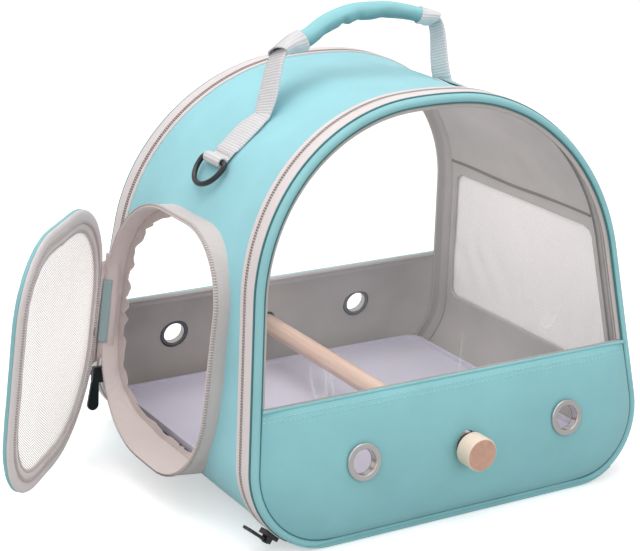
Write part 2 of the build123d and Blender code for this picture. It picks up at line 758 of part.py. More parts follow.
def zip_end(origin, out, track, across, length, node):
    """Slider block with its bridge, and the pull that swings on the bridge's bar."""
    base = Plane(origin=origin, x_dir=across, z_dir=out)
    with BuildPart() as slider:
        with BuildSketch(base):
            RectangleRounded(SLIDER_WIDE, SLIDER_LONG, SLIDER_CORNER_R)
        extrude(amount=SLIDER_HIGH)
        with BuildSketch(base.offset(SLIDER_HIGH)):
            with Locations((-CHEEK_X, 0), (CHEEK_X, 0)):
                Rectangle(1.2, 4.0)
        extrude(amount=CHEEK_HIGH)
        bar = base.offset(SLIDER_HIGH + CHEEK_HIGH - 1.2)
        with BuildSketch(Plane(origin=bar.origin, x_dir=out, z_dir=across)):
            Circle(BAR_R)
        extrude(amount=CHEEK_X, both=True)
    save(slider, f"{node}_slider")

    with BuildPart() as pull:
        eye = Plane(origin=bar.origin, x_dir=track, z_dir=across)
        with BuildSketch(eye):
            Circle(EYE_R)
        extrude(amount=PULL_HALF, both=True)
        with BuildSketch(Plane(origin=bar.origin, x_dir=track, z_dir=eye.y_dir)):
            Circle(PULL_HALF)
            with Locations((length - PULL_END_R, 0)):
                Circle(PULL_END_R)
            make_hull()
        extrude(amount=PULL_THICK / 2, both=True)
        with BuildSketch(eye):
            Circle(BAR_R + 0.06)
        extrude(amount=2 * PULL_HALF, both=True, mode=Mode.SUBTRACT)
    save(pull, f"{node}_pull")


for name, side in SIDES:
    corner = panel_plane(side, (PANEL_COIL[0] + BODY_COIL[1]) / 2)
    level = radians(SLIDER_ANGLE)
    reach = CORNER_R + COIL_PROUD + SLIDER_GAP
    seat = corner.from_local_coords((-CORNER_X - reach * cos(level), CORNER_R - reach * sin(level), 0))
    out = -(corner.x_dir * cos(level) + corner.y_dir * sin(level))
    track = corner.x_dir * -sin(level) + corner.y_dir * cos(level)
    zip_end(seat, out, track, corner.z_dir, ZIP_PULL, name)

slider_level = LEFT.offset(COLLAR_PROUD - DOOR_SLIDER_SINK)
door_seat = slider_level.from_local_coords((-OPEN_REAR - 1.2 - SLIDER_GAP, HINGE_LOW - DOOR_SLIDER_DROP, 0))
zip_end(door_seat, LEFT.x_dir * -1, LEFT.y_dir * -1, LEFT.z_dir, DOOR_PULL, "door")
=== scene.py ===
from math import asin, atan, atan2, cos, degrees, exp, pi, radians, sin, sqrt, tan

import bmesh
import bpy
from mathutils import Matrix, Vector, noise
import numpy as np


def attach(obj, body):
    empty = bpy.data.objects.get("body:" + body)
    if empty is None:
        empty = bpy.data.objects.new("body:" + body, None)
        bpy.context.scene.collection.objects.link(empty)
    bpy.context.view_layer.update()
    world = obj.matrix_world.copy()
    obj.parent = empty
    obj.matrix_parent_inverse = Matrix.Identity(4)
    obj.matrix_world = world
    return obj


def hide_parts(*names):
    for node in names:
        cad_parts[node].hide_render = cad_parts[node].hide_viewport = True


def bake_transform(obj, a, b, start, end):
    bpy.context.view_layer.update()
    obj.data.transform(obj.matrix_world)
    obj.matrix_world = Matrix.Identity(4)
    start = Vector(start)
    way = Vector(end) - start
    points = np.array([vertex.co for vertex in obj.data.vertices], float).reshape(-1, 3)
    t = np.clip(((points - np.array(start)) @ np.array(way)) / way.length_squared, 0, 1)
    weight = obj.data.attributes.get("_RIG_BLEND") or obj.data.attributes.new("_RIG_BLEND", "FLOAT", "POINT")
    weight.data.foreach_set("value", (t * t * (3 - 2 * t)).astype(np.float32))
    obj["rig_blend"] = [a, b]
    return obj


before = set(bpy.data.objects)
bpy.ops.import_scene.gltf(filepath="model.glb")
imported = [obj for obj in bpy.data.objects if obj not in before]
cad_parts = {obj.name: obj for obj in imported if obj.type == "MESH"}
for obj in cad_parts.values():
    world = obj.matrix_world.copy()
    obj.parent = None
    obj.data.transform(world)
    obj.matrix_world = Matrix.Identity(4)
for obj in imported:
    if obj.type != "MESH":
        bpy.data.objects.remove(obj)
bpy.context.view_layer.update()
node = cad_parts

# ---------------------------------------------------------------- sizes, in millimetres
MM = 0.001
SIDES = (("front", -1), ("rear", 1))

# Arch of the two panels, which lean towards each other: base, corners, side walls, shoulders and crown.
HEIGHT = 288.0
BASE_DEPTH = 277.0
PANEL_LEAN = radians(9.5)
WALL_LEAN = 6.2
CORNER_X = 105.0
CORNER_R = 55.0
SHOULDER_R = 136.0
CROWN_R = 329.0

# Cloth shell, its seams and the hollow that the roof sinks into between the zips.
SHELL = 2.4
BINDING = 0.35
WELT = 6.0
WELT_LOW = 3.9
STRIP_TOP = 9.0
BODY_TAPE_BACK = 21.5
UNDER_TAPE = 2.5
RIGHT_SEAM = 183.0
HOLLOW_FROM = 215.0
ROOF_HOLLOW = 2.8
LINING_HOLLOW = 3.4

# Lower pillow of each panel, with its eyelets and the hole for the perch.
HEM_HEIGHT = 100.4
BULGE = 15.0
PINCH = 34.0
EYELET_X = 84.0
EYELET_UP = 58.0
EYELET_HOLE_R = 9.8
EYELET_WASHER_R = 10.4
PERCH_HEIGHT = 54.0
PERCH_HOLE_R = 7.0

# Side opening, its collar, and the door that hangs open from it.
OPEN_FRONT = 77.0
OPEN_REAR = 90.0
OPEN_LOW = 20.0
OPEN_HIGH = 203.0
OPEN_RADII = (76.0, 64.0, 52.0, 78.0)
COLLAR = 2.6
COLLAR_PROUD = 12.0
FRILL = 6.0
RUFFLES = 30
DOOR_OPEN = radians(42.5)
DOOR_DROP = 5.0
DOOR_SPREAD = 6.0
HINGE_X = -91.5
HINGE_LOW = 70.0
HINGE_HIGH = 150.0

# Net window of the right wall.
MESH_HALF_LOW = 106.0
MESH_HALF_HIGH = 87.0
MESH_LOW = 66.0
MESH_HIGH = 179.0
MESH_CORNER = 9.0

# Straps over the shoulders and the handle between them.
STRAP_Y = -5.0
STRAP_END_ANGLE = 39.0
FOLD_ANGLES = {-1: 57.5, 1: 70.0}
STRAP = 1.8
STRAP_WIDTH = 25.0
LOOP_WIDTH = 22.5
HANDLE_LEAN = radians(20.0)
GRIP_HALF = 63.0
GRIP_SHIFT = 14.0
GRIP_END_UP = 40.0
GRIP_MID_UP = 56.0
GRIP_R = 6.6
SLEEVE_R = 7.8
MOUTH_HALF = 13.4
MOUTH_TALL = 4.4

# The arch's tangent points, worked out from the sizes above.
PANEL_COS = cos(PANEL_LEAN)
PANEL_TAN = tan(PANEL_LEAN)
PANEL_HEIGHT = HEIGHT / PANEL_COS
LEAN_COS = cos(radians(WALL_LEAN))
LEAN_SIN = sin(radians(WALL_LEAN))
WALL_REACH = CORNER_X * LEAN_COS + CORNER_R * LEAN_SIN + CORNER_R
foot_x = LEAN_COS * (WALL_REACH - SHOULDER_R)
foot_y = LEAN_SIN * (WALL_REACH - SHOULDER_R) - (PANEL_HEIGHT - CROWN_R)
along = foot_y * LEAN_COS - foot_x * LEAN_SIN
SHOULDER_UP = -along + sqrt(along**2 - foot_x**2 - foot_y**2 + (CROWN_R - SHOULDER_R) ** 2)
SHOULDER_X = LEAN_COS * (WALL_REACH - SHOULDER_R) - LEAN_SIN * SHOULDER_UP
SHOULDER_Y = LEAN_SIN * (WALL_REACH - SHOULDER_R) + LEAN_COS * SHOULDER_UP
SIDE_RUN = SHOULDER_UP - (CORNER_R * LEAN_COS - CORNER_X * LEAN_SIN)
CROWN_START = degrees(atan2(SHOULDER_Y - (PANEL_HEIGHT - CROWN_R), SHOULDER_X))
WALL_TILT = atan(tan(radians(WALL_LEAN)) / PANEL_COS)
WALL_X = WALL_REACH / LEAN_COS

# ---------------------------------------------------------------- camera
CAMERA_PLACE = (-0.6866, -1.0834, 0.5507)
CAMERA_AHEAD = (0.49015, 0.81509, -0.30883)
CAMERA_ROLL = 0.025
CAMERA_LENS = 103.19

camera = bpy.data.objects.new("camera", bpy.data.cameras.new("camera"))
bpy.context.scene.collection.objects.link(camera)
camera.data.sensor_fit = "HORIZONTAL"
camera.data.sensor_width = 36.0
camera.data.lens = CAMERA_LENS
camera.data.clip_end = 20.0
ahead = Vector(CAMERA_AHEAD).normalized()
level = ahead.cross(Vector((0, 0, 1))).normalized()
upward = level.cross(ahead)
turned_level = level * cos(CAMERA_ROLL) + upward * sin(CAMERA_ROLL)
turned_up = upward * cos(CAMERA_ROLL) - level * sin(CAMERA_ROLL)
camera.matrix_world = Matrix.Translation(CAMERA_PLACE) @ Matrix(
    (turned_level, turned_up, -ahead)
).transposed().to_4x4()
bpy.context.scene.camera = camera


# ---------------------------------------------------------------- materials
def linear(code):
    """sRGB hex code as a linear colour."""
    channels = [int(code[i:i + 2], 16) / 255 for i in (1, 3, 5)]
    return [c / 12.92 if c <= 0.04045 else ((c + 0.055) / 1.055) ** 2.4 for c in channels] + [1.0]


def add_node(tree, kind, settings=(), inputs=(), links=()):
    """One shader node with its settings, socket values and incoming links."""
    made = tree.nodes.new("ShaderNode" + kind)
    for name, value in dict(settings).items():
        setattr(made, name, value)
    for name, value in dict(inputs).items():
        made.inputs[name].default_value = value
    for name, source in dict(links).items():
        tree.links.new(source, made.inputs[name])
    return made


def new_material(name):
    """Empty node material with a Principled shader on its output."""
    material = bpy.data.materials.new(name)
    material.use_nodes = True
    tree = material.node_tree
    tree.nodes.clear()
    shader = add_node(tree, "BsdfPrincipled")
    add_node(tree, "OutputMaterial", links={"Surface": shader.outputs["BSDF"]})
    return material, tree, shader


def threads(tree, axes, pitch):
    """Plain weave height from two of the object's axes, with its threads a pitch in mm apart."""
    place = add_node(tree, "TexCoord")
    split = add_node(tree, "SeparateXYZ", links={"Vector": place.outputs["Object"]})
    waves = []
    for axis in axes:
        turns = add_node(tree, "Math", {"operation": "MULTIPLY"}, {1: 2 * pi / (pitch * MM)},
                         {0: split.outputs[axis]})
        waves.append(add_node(tree, "Math", {"operation": "SINE"}, links={0: turns.outputs[0]}))
    return add_node(tree, "Math", {"operation": "MULTIPLY"},
                    links={0: waves[0].outputs[0], 1: waves[1].outputs[0]})


def woven(name, colour, axes="YZ", pitch=1.3, rough=0.78, depth=0.10, drift=0.05, sheen=0.25, creases=0.0):
    """Woven cloth: thread bump, soft colour drift over the cloth and a faint sheen."""
    material, tree, shader = new_material(name)
    weave = threads(tree, axes, pitch)
    place = add_node(tree, "TexCoord")
    patchy = add_node(tree, "TexNoise", inputs={"Scale": 22.0, "Detail": 4.0, "Roughness": 0.55},
                      links={"Vector": place.outputs["Object"]})
    fuzz = add_node(tree, "TexNoise", inputs={"Scale": 900.0, "Detail": 2.0},
                    links={"Vector": place.outputs["Object"]})
    base = linear(colour)
    ramp = add_node(tree, "ValToRGB", links={"Fac": patchy.outputs["Fac"]})
    ramp.color_ramp.elements[0].position = 0.3
    ramp.color_ramp.elements[1].position = 0.7
    ramp.color_ramp.elements[0].color = [c * (1 - drift) for c in base[:3]] + [1]
    ramp.color_ramp.elements[1].color = [min(1, c * (1 + drift)) for c in base[:3]] + [1]
    grain = add_node(tree, "Math", {"operation": "MULTIPLY_ADD"}, {1: 0.035, 2: 1.0}, {0: weave.outputs[0]})
    shade = add_node(tree, "VectorMath", {"operation": "SCALE"},
                     links={0: ramp.outputs["Color"], "Scale": grain.outputs[0]})
    tree.links.new(shade.outputs[0], shader.inputs["Base Color"])
    height = add_node(tree, "Math", {"operation": "ADD"}, links={0: weave.outputs[0], 1: fuzz.outputs["Fac"]})
    bump = add_node(tree, "Bump", inputs={"Strength": 0.35, "Distance": depth * MM},
                    links={"Height": height.outputs[0]})
    if creases:
        folds = add_node(tree, "TexNoise", inputs={"Scale": 38.0, "Detail": 3.0, "Roughness": 0.45},
                         links={"Vector": place.outputs["Object"]})
        bump = add_node(tree, "Bump", inputs={"Strength": 0.5, "Distance": creases * MM},
                        links={"Height": folds.outputs["Fac"], "Normal": bump.outputs["Normal"]})
    tree.links.new(bump.outputs["Normal"], shader.inputs["Normal"])
    shader.inputs["Roughness"].default_value = rough
    shader.inputs["Sheen Weight"].default_value = sheen
    shader.inputs["Sheen Roughness"].default_value = 0.5
    shader.inputs["Specular IOR Level"].default_value = 0.3
    return material


def coil_material(name, valley, turn):
    """Zip coil: a fine row of nylon turns along the tape."""
    turn_pitch = 1.9
    material, tree, shader = new_material(name)
    run = add_node(tree, "Attribute", {"attribute_name": "run"})
    turns = add_node(tree, "Math", {"operation": "MULTIPLY"}, {1: 2 * pi / turn_pitch},
                     {0: run.outputs["Fac"]})
    wave = add_node(tree, "Math", {"operation": "SINE"}, links={0: turns.outputs[0]})
    lift = add_node(tree, "MapRange", inputs={"From Min": -1.0, "From Max": 1.0},
                    links={"Value": wave.outputs[0]})
    ramp = add_node(tree, "ValToRGB", links={"Fac": lift.outputs["Result"]})
    ramp.color_ramp.elements[0].color = linear(valley)
    ramp.color_ramp.elements[1].color = linear(turn)
    bump = add_node(tree, "Bump", inputs={"Strength": 0.8, "Distance": 0.4 * MM},
                    links={"Height": wave.outputs[0]})
    tree.links.new(ramp.outputs["Color"], shader.inputs["Base Color"])
    tree.links.new(bump.outputs["Normal"], shader.inputs["Normal"])
    shader.inputs["Roughness"].default_value = 0.45
    return material


def ribbed_webbing(name, colour, pitch):
    """Webbing with a rib across it at every pitch in mm, and shaded valleys between the ribs."""
    material, tree, shader = new_material(name)
    place = add_node(tree, "TexCoord")
    run = add_node(tree, "Attribute", {"attribute_name": "run"})
    turns = add_node(tree, "Math", {"operation": "MULTIPLY"}, {1: pi / pitch}, {0: run.outputs["Fac"]})
    wave = add_node(tree, "Math", {"operation": "SINE"}, links={0: turns.outputs[0]})
    rib = add_node(tree, "Math", {"operation": "ABSOLUTE"}, links={0: wave.outputs[0]})
    fuzz = add_node(tree, "TexNoise", inputs={"Scale": 700.0, "Detail": 2.0},
                    links={"Vector": place.outputs["Object"]})
    base = linear(colour)
    ramp = add_node(tree, "ValToRGB", links={"Fac": rib.outputs[0]})
    ramp.color_ramp.elements[0].color = [c * 0.74 for c in base[:3]] + [1]
    ramp.color_ramp.elements[1].position = 0.55
    ramp.color_ramp.elements[1].color = base
    height = add_node(tree, "Math", {"operation": "MULTIPLY_ADD"}, {1: 0.25},
                      {0: fuzz.outputs["Fac"], 2: rib.outputs[0]})
    bump = add_node(tree, "Bump", inputs={"Strength": 0.6, "Distance": 0.5 * MM},
                    links={"Height": height.outputs[0]})
    tree.links.new(ramp.outputs["Color"], shader.inputs["Base Color"])
    tree.links.new(bump.outputs["Normal"], shader.inputs["Normal"])
    shader.inputs["Roughness"].default_value = 0.65
    shader.inputs["Sheen Weight"].default_value = 0.15
    return material


def plain(name, colour, rough, grit=0.3, dents=0.05, metallic=0.0, drift=0.04, coat=0.0):
    """Moulded, painted or plated surface with faint wear, of a grit size in mm."""
    material, tree, shader = new_material(name)
    place = add_node(tree, "TexCoord")
    fine = add_node(tree, "TexNoise", inputs={"Scale": 1.0 / (grit * MM), "Detail": 3.0},
                    links={"Vector": place.outputs["Object"]})
    wide = add_node(tree, "TexNoise", inputs={"Scale": 40.0, "Detail": 3.0},
                    links={"Vector": place.outputs["Object"]})
    base = linear(colour)
    ramp = add_node(tree, "ValToRGB", links={"Fac": wide.outputs["Fac"]})
    ramp.color_ramp.elements[0].color = [c * (1 - drift) for c in base[:3]] + [1]
    ramp.color_ramp.elements[1].color = [min(1, c * (1 + drift)) for c in base[:3]] + [1]
    worn = add_node(tree, "MapRange", inputs={"To Min": rough - 0.06, "To Max": rough + 0.08},
                    links={"Value": wide.outputs["Fac"]})
    bump = add_node(tree, "Bump", inputs={"Strength": 0.3, "Distance": dents * MM},
                    links={"Height": fine.outputs["Fac"]})
    tree.links.new(ramp.outputs["Color"], shader.inputs["Base Color"])
    tree.links.new(worn.outputs["Result"], shader.inputs["Roughness"])
    tree.links.new(bump.outputs["Normal"], shader.inputs["Normal"])
    shader.inputs["Metallic"].default_value = metallic
    shader.inputs["Coat Weight"].default_value = coat
    return material


def turned_wood(name, pale, dark, rough):
    """Sanded round wood with its grain running along Y."""
    material, tree, shader = new_material(name)
    place = add_node(tree, "TexCoord")
    stretch = add_node(tree, "Mapping", inputs={"Scale": (260.0, 9.0, 260.0)},
                       links={"Vector": place.outputs["Object"]})
    grain = add_node(tree, "TexNoise", inputs={"Scale": 1.0, "Detail": 5.0, "Roughness": 0.6},
                     links={"Vector": stretch.outputs["Vector"]})
    ramp = add_node(tree, "ValToRGB", links={"Fac": grain.outputs["Fac"]})
    ramp.color_ramp.elements[0].position = 0.35
    ramp.color_ramp.elements[1].position = 0.65
    ramp.color_ramp.elements[0].color = linear(dark)
    ramp.color_ramp.elements[1].color = linear(pale)
    bump = add_node(tree, "Bump", inputs={"Strength": 0.25, "Distance": 0.15 * MM},
                    links={"Height": grain.outputs["Fac"]})
    tree.links.new(ramp.outputs["Color"], shader.inputs["Base Color"])
    tree.links.new(bump.outputs["Normal"], shader.inputs["Normal"])
    shader.inputs["Roughness"].default_value = rough
    return material


def cap_wood(name, side_tone, end_tone, rough):
    """Lacquered round wood: pale long grain on its side and darker end grain on its faces."""
    material = turned_wood(name, side_tone, side_tone, rough)
    tree = material.node_tree
    shader = next(n for n in tree.nodes if n.type == "BSDF_PRINCIPLED")
    place = add_node(tree, "TexCoord")
    rings = add_node(tree, "TexNoise", inputs={"Scale": 160.0, "Detail": 4.0, "Distortion": 1.5},
                     links={"Vector": place.outputs["Object"]})
    tone = add_node(tree, "ValToRGB", links={"Fac": rings.outputs["Fac"]})
    tone.color_ramp.elements[0].position = 0.35
    tone.color_ramp.elements[1].position = 0.65
    tone.color_ramp.elements[0].color = [c * 0.86 for c in linear(end_tone)[:3]] + [1]
    tone.color_ramp.elements[1].color = linear(end_tone)
    shape = add_node(tree, "NewGeometry")
    split = add_node(tree, "SeparateXYZ", links={"Vector": shape.outputs["Normal"]})
    facing = add_node(tree, "Math", {"operation": "ABSOLUTE"}, links={0: split.outputs["Y"]})
    end = add_node(tree, "MapRange", inputs={"From Min": 0.88, "From Max": 0.94},
                   links={"Value": facing.outputs[0]})
    mix = add_node(tree, "Mix", {"data_type": "RGBA"})
    tree.links.new(end.outputs["Result"], mix.inputs[0])
    tree.links.new(shader.inputs["Base Color"].links[0].from_socket, mix.inputs[6])
    tree.links.new(tone.outputs["Color"], mix.inputs[7])
    tree.links.new(mix.outputs[2], shader.inputs["Base Color"])
    return material


def grip_cloth_with_painted_shade(name, colour):
    """Grip cloth with painted shade: darker on its downward-facing side, where less light falls."""
    material = woven(name, colour, "XY", pitch=1.1, creases=1.2)
    tree = material.node_tree
    shader = next(n for n in tree.nodes if n.type == "BSDF_PRINCIPLED")
    shape = add_node(tree, "NewGeometry")
    split = add_node(tree, "SeparateXYZ", links={"Vector": shape.outputs["Normal"]})
    # Painted shade: the colour is scaled down as the surface turns to face downward.
    under = add_node(tree, "MapRange",
                     inputs={"From Min": -0.7, "From Max": 0.45, "To Min": 0.5, "To Max": 1.0},
                     links={"Value": split.outputs["Z"]})
    source = shader.inputs["Base Color"].links[0].from_socket
    shade = add_node(tree, "VectorMath", {"operation": "SCALE"},
                     links={0: source, "Scale": under.outputs["Result"]})
    tree.links.new(shade.outputs[0], shader.inputs["Base Color"])
    return material


def net_material(name, colour, cell, cover, glow):
    """Knitted net: opaque yarns round holes a cell in mm apart, which still hide a share given by cover."""
    material, tree, shader = new_material(name)
    place = add_node(tree, "TexCoord")
    split = add_node(tree, "SeparateXYZ", links={"Vector": place.outputs["Object"]})
    lean = add_node(tree, "Math", {"operation": "ADD"}, links={0: split.outputs["Y"], 1: split.outputs["Z"]})
    cross = add_node(tree, "Math", {"operation": "SUBTRACT"},
                     links={0: split.outputs["Y"], 1: split.outputs["Z"]})
    waves = []
    for source in (lean, cross):
        turns = add_node(tree, "Math", {"operation": "MULTIPLY"}, {1: pi / (cell * MM)},
                         {0: source.outputs[0]})
        sine = add_node(tree, "Math", {"operation": "SINE"}, links={0: turns.outputs[0]})
        waves.append(add_node(tree, "Math", {"operation": "ABSOLUTE"}, links={0: sine.outputs[0]}))
    yarn = add_node(tree, "Math", {"operation": "MULTIPLY"},
                    links={0: waves[0].outputs[0], 1: waves[1].outputs[0]})
    solid = add_node(tree, "MapRange",
                     inputs={"From Min": 0.25, "From Max": 0.6, "To Min": 1.0, "To Max": cover},
                     links={"Value": yarn.outputs[0]})
    shade = add_node(tree, "ValToRGB", links={"Fac": yarn.outputs[0]})
    base = linear(colour)
    shade.color_ramp.elements[0].color = base
    shade.color_ramp.elements[1].color = [c * 0.92 for c in base[:3]] + [1]
    bump = add_node(tree, "Bump", {"invert": True}, {"Strength": 0.5, "Distance": 0.2 * MM},
                    {"Height": yarn.outputs[0]})
    tree.links.new(shade.outputs["Color"], shader.inputs["Base Color"])
    tree.links.new(solid.outputs["Result"], shader.inputs["Alpha"])
    tree.links.new(bump.outputs["Normal"], shader.inputs["Normal"])
    shader.inputs["Roughness"].default_value = 0.8
    # Painted light: the yarns glow by their own emission, standing in for light that would come through them from
    # behind.
    shader.inputs["Emission Color"].default_value = base
    shader.inputs["Emission Strength"].default_value = glow
    return material


def film_material():
    """Clear soft vinyl film: colourless, glossy, with shallow ripples."""
    material, tree, shader = new_material("vinyl_film_clear")
    place = add_node(tree, "TexCoord")
    ripple = add_node(tree, "TexNoise", inputs={"Scale": 9.0, "Detail": 2.0, "Distortion": 0.6},
                      links={"Vector": place.outputs["Object"]})
    bump = add_node(tree, "Bump", inputs={"Strength": 0.35, "Distance": 6.0 * MM},
                    links={"Height": ripple.outputs["Fac"]})
    shader.inputs["Base Color"].default_value = linear("#F6FAFB")
    shader.inputs["Roughness"].default_value = 0.08
    shader.inputs["IOR"].default_value = 1.5
    # Painted highlights: faint pale streaks, drawn out along the arch and gathered in a few places, stand in for
    # reflections on the film.
    drawn = add_node(tree, "Mapping", inputs={"Rotation": (0.0, -0.6, 0.0), "Scale": (2.0, 1.0, 0.4)},
                     links={"Vector": place.outputs["Object"]})
    painted_streak = add_node(tree, "TexNoise", inputs={"Scale": 11.0, "Detail": 1.5, "Distortion": 0.7},
                      links={"Vector": drawn.outputs["Vector"]})
    line = add_node(tree, "ValToRGB", links={"Fac": painted_streak.outputs["Fac"]})
    for element, position in zip(line.color_ramp.elements, (0.485, 0.515)):
        element.position = position
        element.color = (0, 0, 0, 1)
    line.color_ramp.elements.new(0.5).color = (1, 1, 1, 1)
    spots = add_node(tree, "TexNoise", inputs={"Scale": 8.0, "Detail": 1.0},
                     links={"Vector": place.outputs["Object"]})
    where = add_node(tree, "MapRange", inputs={"From Min": 0.50, "From Max": 0.60, "To Max": 0.30},
                     links={"Value": spots.outputs["Fac"]})
    cover = add_node(tree, "Math", {"operation": "MULTIPLY_ADD"}, {2: 0.09},
                     {0: line.outputs["Color"], 1: where.outputs["Result"]})
    tree.links.new(cover.outputs[0], shader.inputs["Alpha"])
    tree.links.new(bump.outputs["Normal"], shader.inputs["Normal"])
    return material


# ---------------------------------------------------------------- finishes
# Padded polyester cloth, a tight plain weave with a soft matt face. Its threads are about 0.4 mm apart, and
# are drawn at 1.3 mm so that they show. Its copies carry painted light and shade: the roof's copy is lighter, for
# the light from above, and the side's, panel's and welt's copies are darker, for the shade on them.
TEAL_WALL = woven("polyester_cloth_teal_side", "#90C9CE", "YZ", creases=0.9)
TEAL_ROOF = woven("polyester_cloth_teal_roof", "#9FDBE4", "XY", creases=0.9)
TEAL_PANEL = woven("polyester_cloth_teal_panel", "#90CBD0", "XZ", creases=0.9)
TEAL_WELT = woven("polyester_cloth_teal_welt", "#97CFD4", "XZ", pitch=1.1)
# The grip's cloth carries painted shade on its underside.
TEAL_GRIP = grip_cloth_with_painted_shade("polyester_cloth_teal_grip", "#9AD6DC")
# Woven nylon zip tape, flat and close, with a dull blush face.
BLUSH_TAPE = woven("nylon_tape_blush", "#EAE0DF", "YZ", pitch=1.0, rough=0.7, drift=0.03)
# The same tape doubled for the collar, which stands up softly and keeps fine wrinkles.
BLUSH_COLLAR = woven("nylon_tape_blush_collar", "#DACDCA", "YZ", pitch=1.1, rough=0.75, drift=0.05,
                     creases=1.5)
# Elastic binding, gathered, so its face is all small folds.
FRILL_CLOTH = woven("elastic_binding_blush", "#C9BCB9", "YZ", pitch=1.0, rough=0.75, drift=0.06, creases=1.5)
# Narrow nylon binding folded over the film's and the net's raw edges, warm grey and matt.
FILM_BINDING = woven("nylon_binding_warm_grey", "#C9C1BD", "XZ", pitch=1.0, rough=0.7, drift=0.05,
                     creases=0.8)
# Smooth woven lining, matt grey with loose wrinkles.
GREY_LINING = woven("woven_lining_grey", "#ABA6A3", "YZ", pitch=0.9, drift=0.08, sheen=0.1, creases=2.0)
# Plain woven teal strip on the door's hinge, greyed with painted shade, since it lies in shadow.
HINGE_CLOTH = woven("woven_strip_grey_teal", "#9DB3B5", "YZ", pitch=1.1, creases=0.8)
# Painted shade: dark tubes for the shaded valleys beside a welt, and for the shade under the turned edge above
# the net.
SEAM_SHADE = woven("painted_shade_welt_valley", "#4B8287", "XZ", pitch=1.0, sheen=0.0)
FOLD_SHADE = woven("lining_fold_painted_shade", "#6F6A67", "YZ", pitch=1.0, sheen=0.0)
# Spun polyester sewing thread, with a slight shine on each stitch.
STITCH = plain("polyester_thread_teal", "#B9E4E7", 0.6)
STITCH_GREY = plain("polyester_thread_grey", "#B9B4B1", 0.6)
# Moulded nylon zip coil: satin turns over a shaded valley, 1.9 mm apart so that they show.
COIL = coil_material("nylon_coil_blush", "#8E7F7D", "#DDD2CF")
PALE_COIL = coil_material("nylon_coil_pale", "#B5A8A4", "#EAE0DD")
# Ribbed polypropylene webbing, off-white, with a coarse even rib.
PALE_WEBBING = ribbed_webbing("ribbed_webbing_white", "#E6E3E5", 2.1)
# Knitted polyester net: an airy weave on the door, and a denser one on the wall. The cells are drawn at
# 1.7 mm so that they show. Both copies glow with painted light; the wall's copy is darker and glows less, as
# painted shade for the inside of the carrier.
NET = net_material("knitted_net_white", "#FDF9F7", 1.7, 0.30, 0.20)
INNER_NET = net_material("knitted_net_white_inner", "#EAE6E4", 1.7, 0.62, 0.09)
FILM = film_material()
# Sanded beech for the perch, a dull pinkish long grain.
PERCH_WOOD = turned_wood("beech_sanded", "#DCC0B0", "#CAA996", 0.6)
# Lacquered beech for the caps: pale round their sides and darker on the end grain.
CAP_WOOD = cap_wood("beech_lacquered", "#F8E2CC", "#DDAE98", 0.38)
# Moulded polypropylene with a satin face.
TRAY_PLASTIC = plain("polypropylene_tray_lilac", "#CBC7D6", 0.42, drift=0.03)
# Stiff polyethylene board, dull black.
BLACK_BOARD = plain("polyethylene_board_black", "#1C1C1E", 0.6)
# Closed-cell foam with a fine pitted skin.
PALE_FOAM = plain("foam_liner_pale", "#CFCBCB", 0.8, grit=0.8, dents=0.2)
# Plated steel eyelets, bright outside and dark gunmetal inside.
NICKEL = plain("steel_nickel_plated", "#CFCCCA", 0.16, metallic=1.0, drift=0.05)
GUNMETAL = plain("steel_gunmetal_plated", "#6A6C70", 0.22, metallic=1.0, drift=0.08)
# Die-cast zinc under a black paint with a thin gloss.
BLACK_METAL = plain("zinc_black_painted", "#222226", 0.32, coat=0.3)
# Zinc-plated steel of the perch's studs, a dull silver.
ZINC = plain("steel_zinc_plated", "#B8BBBE", 0.35, metallic=1.0)
# Moulded nylon washer, dark and satin.
DARK_PLASTIC = plain("nylon_washer_dark", "#3A3A3C", 0.5)


# ---------------------------------------------------------------- making pieces
def clamp(value):
    """A value held between 0 and 1."""
    return max(0.0, min(1.0, value))


def bell(x, middle, span):
    """Smooth bump of height 1 at a middle, gone within about two spans."""
    return exp(-(((x - middle) / span) ** 2))


def lookup(table, up):
    """Value at a height, between the rows of a table of (height, value)."""
    for (u0, x0), (u1, x1) in zip(table, table[1:]):
        if u0 <= up <= u1:
            return x0 + (x1 - x0) * (up - u0) / max(1e-6, u1 - u0)
    return table[0][1] if up < table[0][0] else table[-1][1]


def rims(bm):
    """Edges that bound an open shape."""
    return [edge for edge in bm.edges if edge.is_boundary]


def everything(bm):
    """All of a shape, for a cut across it."""
    return bm.verts[:] + bm.edges[:] + bm.faces[:]


def finish_piece(bm, name, body, material, smooth=50.0):
    """Turns a shape drawn in mm into a named piece riding on a body."""
    bmesh.ops.remove_doubles(bm, verts=bm.verts, dist=0.0005)
    bmesh.ops.scale(bm, verts=bm.verts, vec=(MM, MM, MM))
    mesh = bpy.data.meshes.new(name)
    bm.to_mesh(mesh)
    bm.free()
    mesh.shade_smooth()
    mesh.set_sharp_from_angle(angle=radians(smooth))
    mesh.materials.append(material)
    piece = bpy.data.objects.new(name, mesh)
    bpy.context.scene.collection.objects.link(piece)
    if body:
        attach(piece, body)
    return piece


def bake(piece):
    """Applies a piece's modifiers to its mesh."""
    bpy.context.view_layer.update()
    made = bpy.data.meshes.new_from_object(piece.evaluated_get(bpy.context.evaluated_depsgraph_get()))
    piece.modifiers.clear()
    piece.data = made
    return piece


def thicken(piece, thickness, offset=-1.0):
    """Gives a skin its thickness in mm."""
    modifier = piece.modifiers.new("thickness", "SOLIDIFY")
    modifier.thickness = thickness * MM
    modifier.offset = offset
    modifier.use_even_offset = True
    return piece


def cut_away(piece, cutter):
    """Cuts one piece with another, which is then thrown away."""
    modifier = piece.modifiers.new("cut", "BOOLEAN")
    modifier.operation = "DIFFERENCE"
    modifier.solver = "EXACT"
    modifier.object = cutter
    bake(piece)
    bpy.data.objects.remove(cutter)
    piece.data.shade_smooth()
    piece.data.set_sharp_from_angle(angle=radians(50))
    return piece


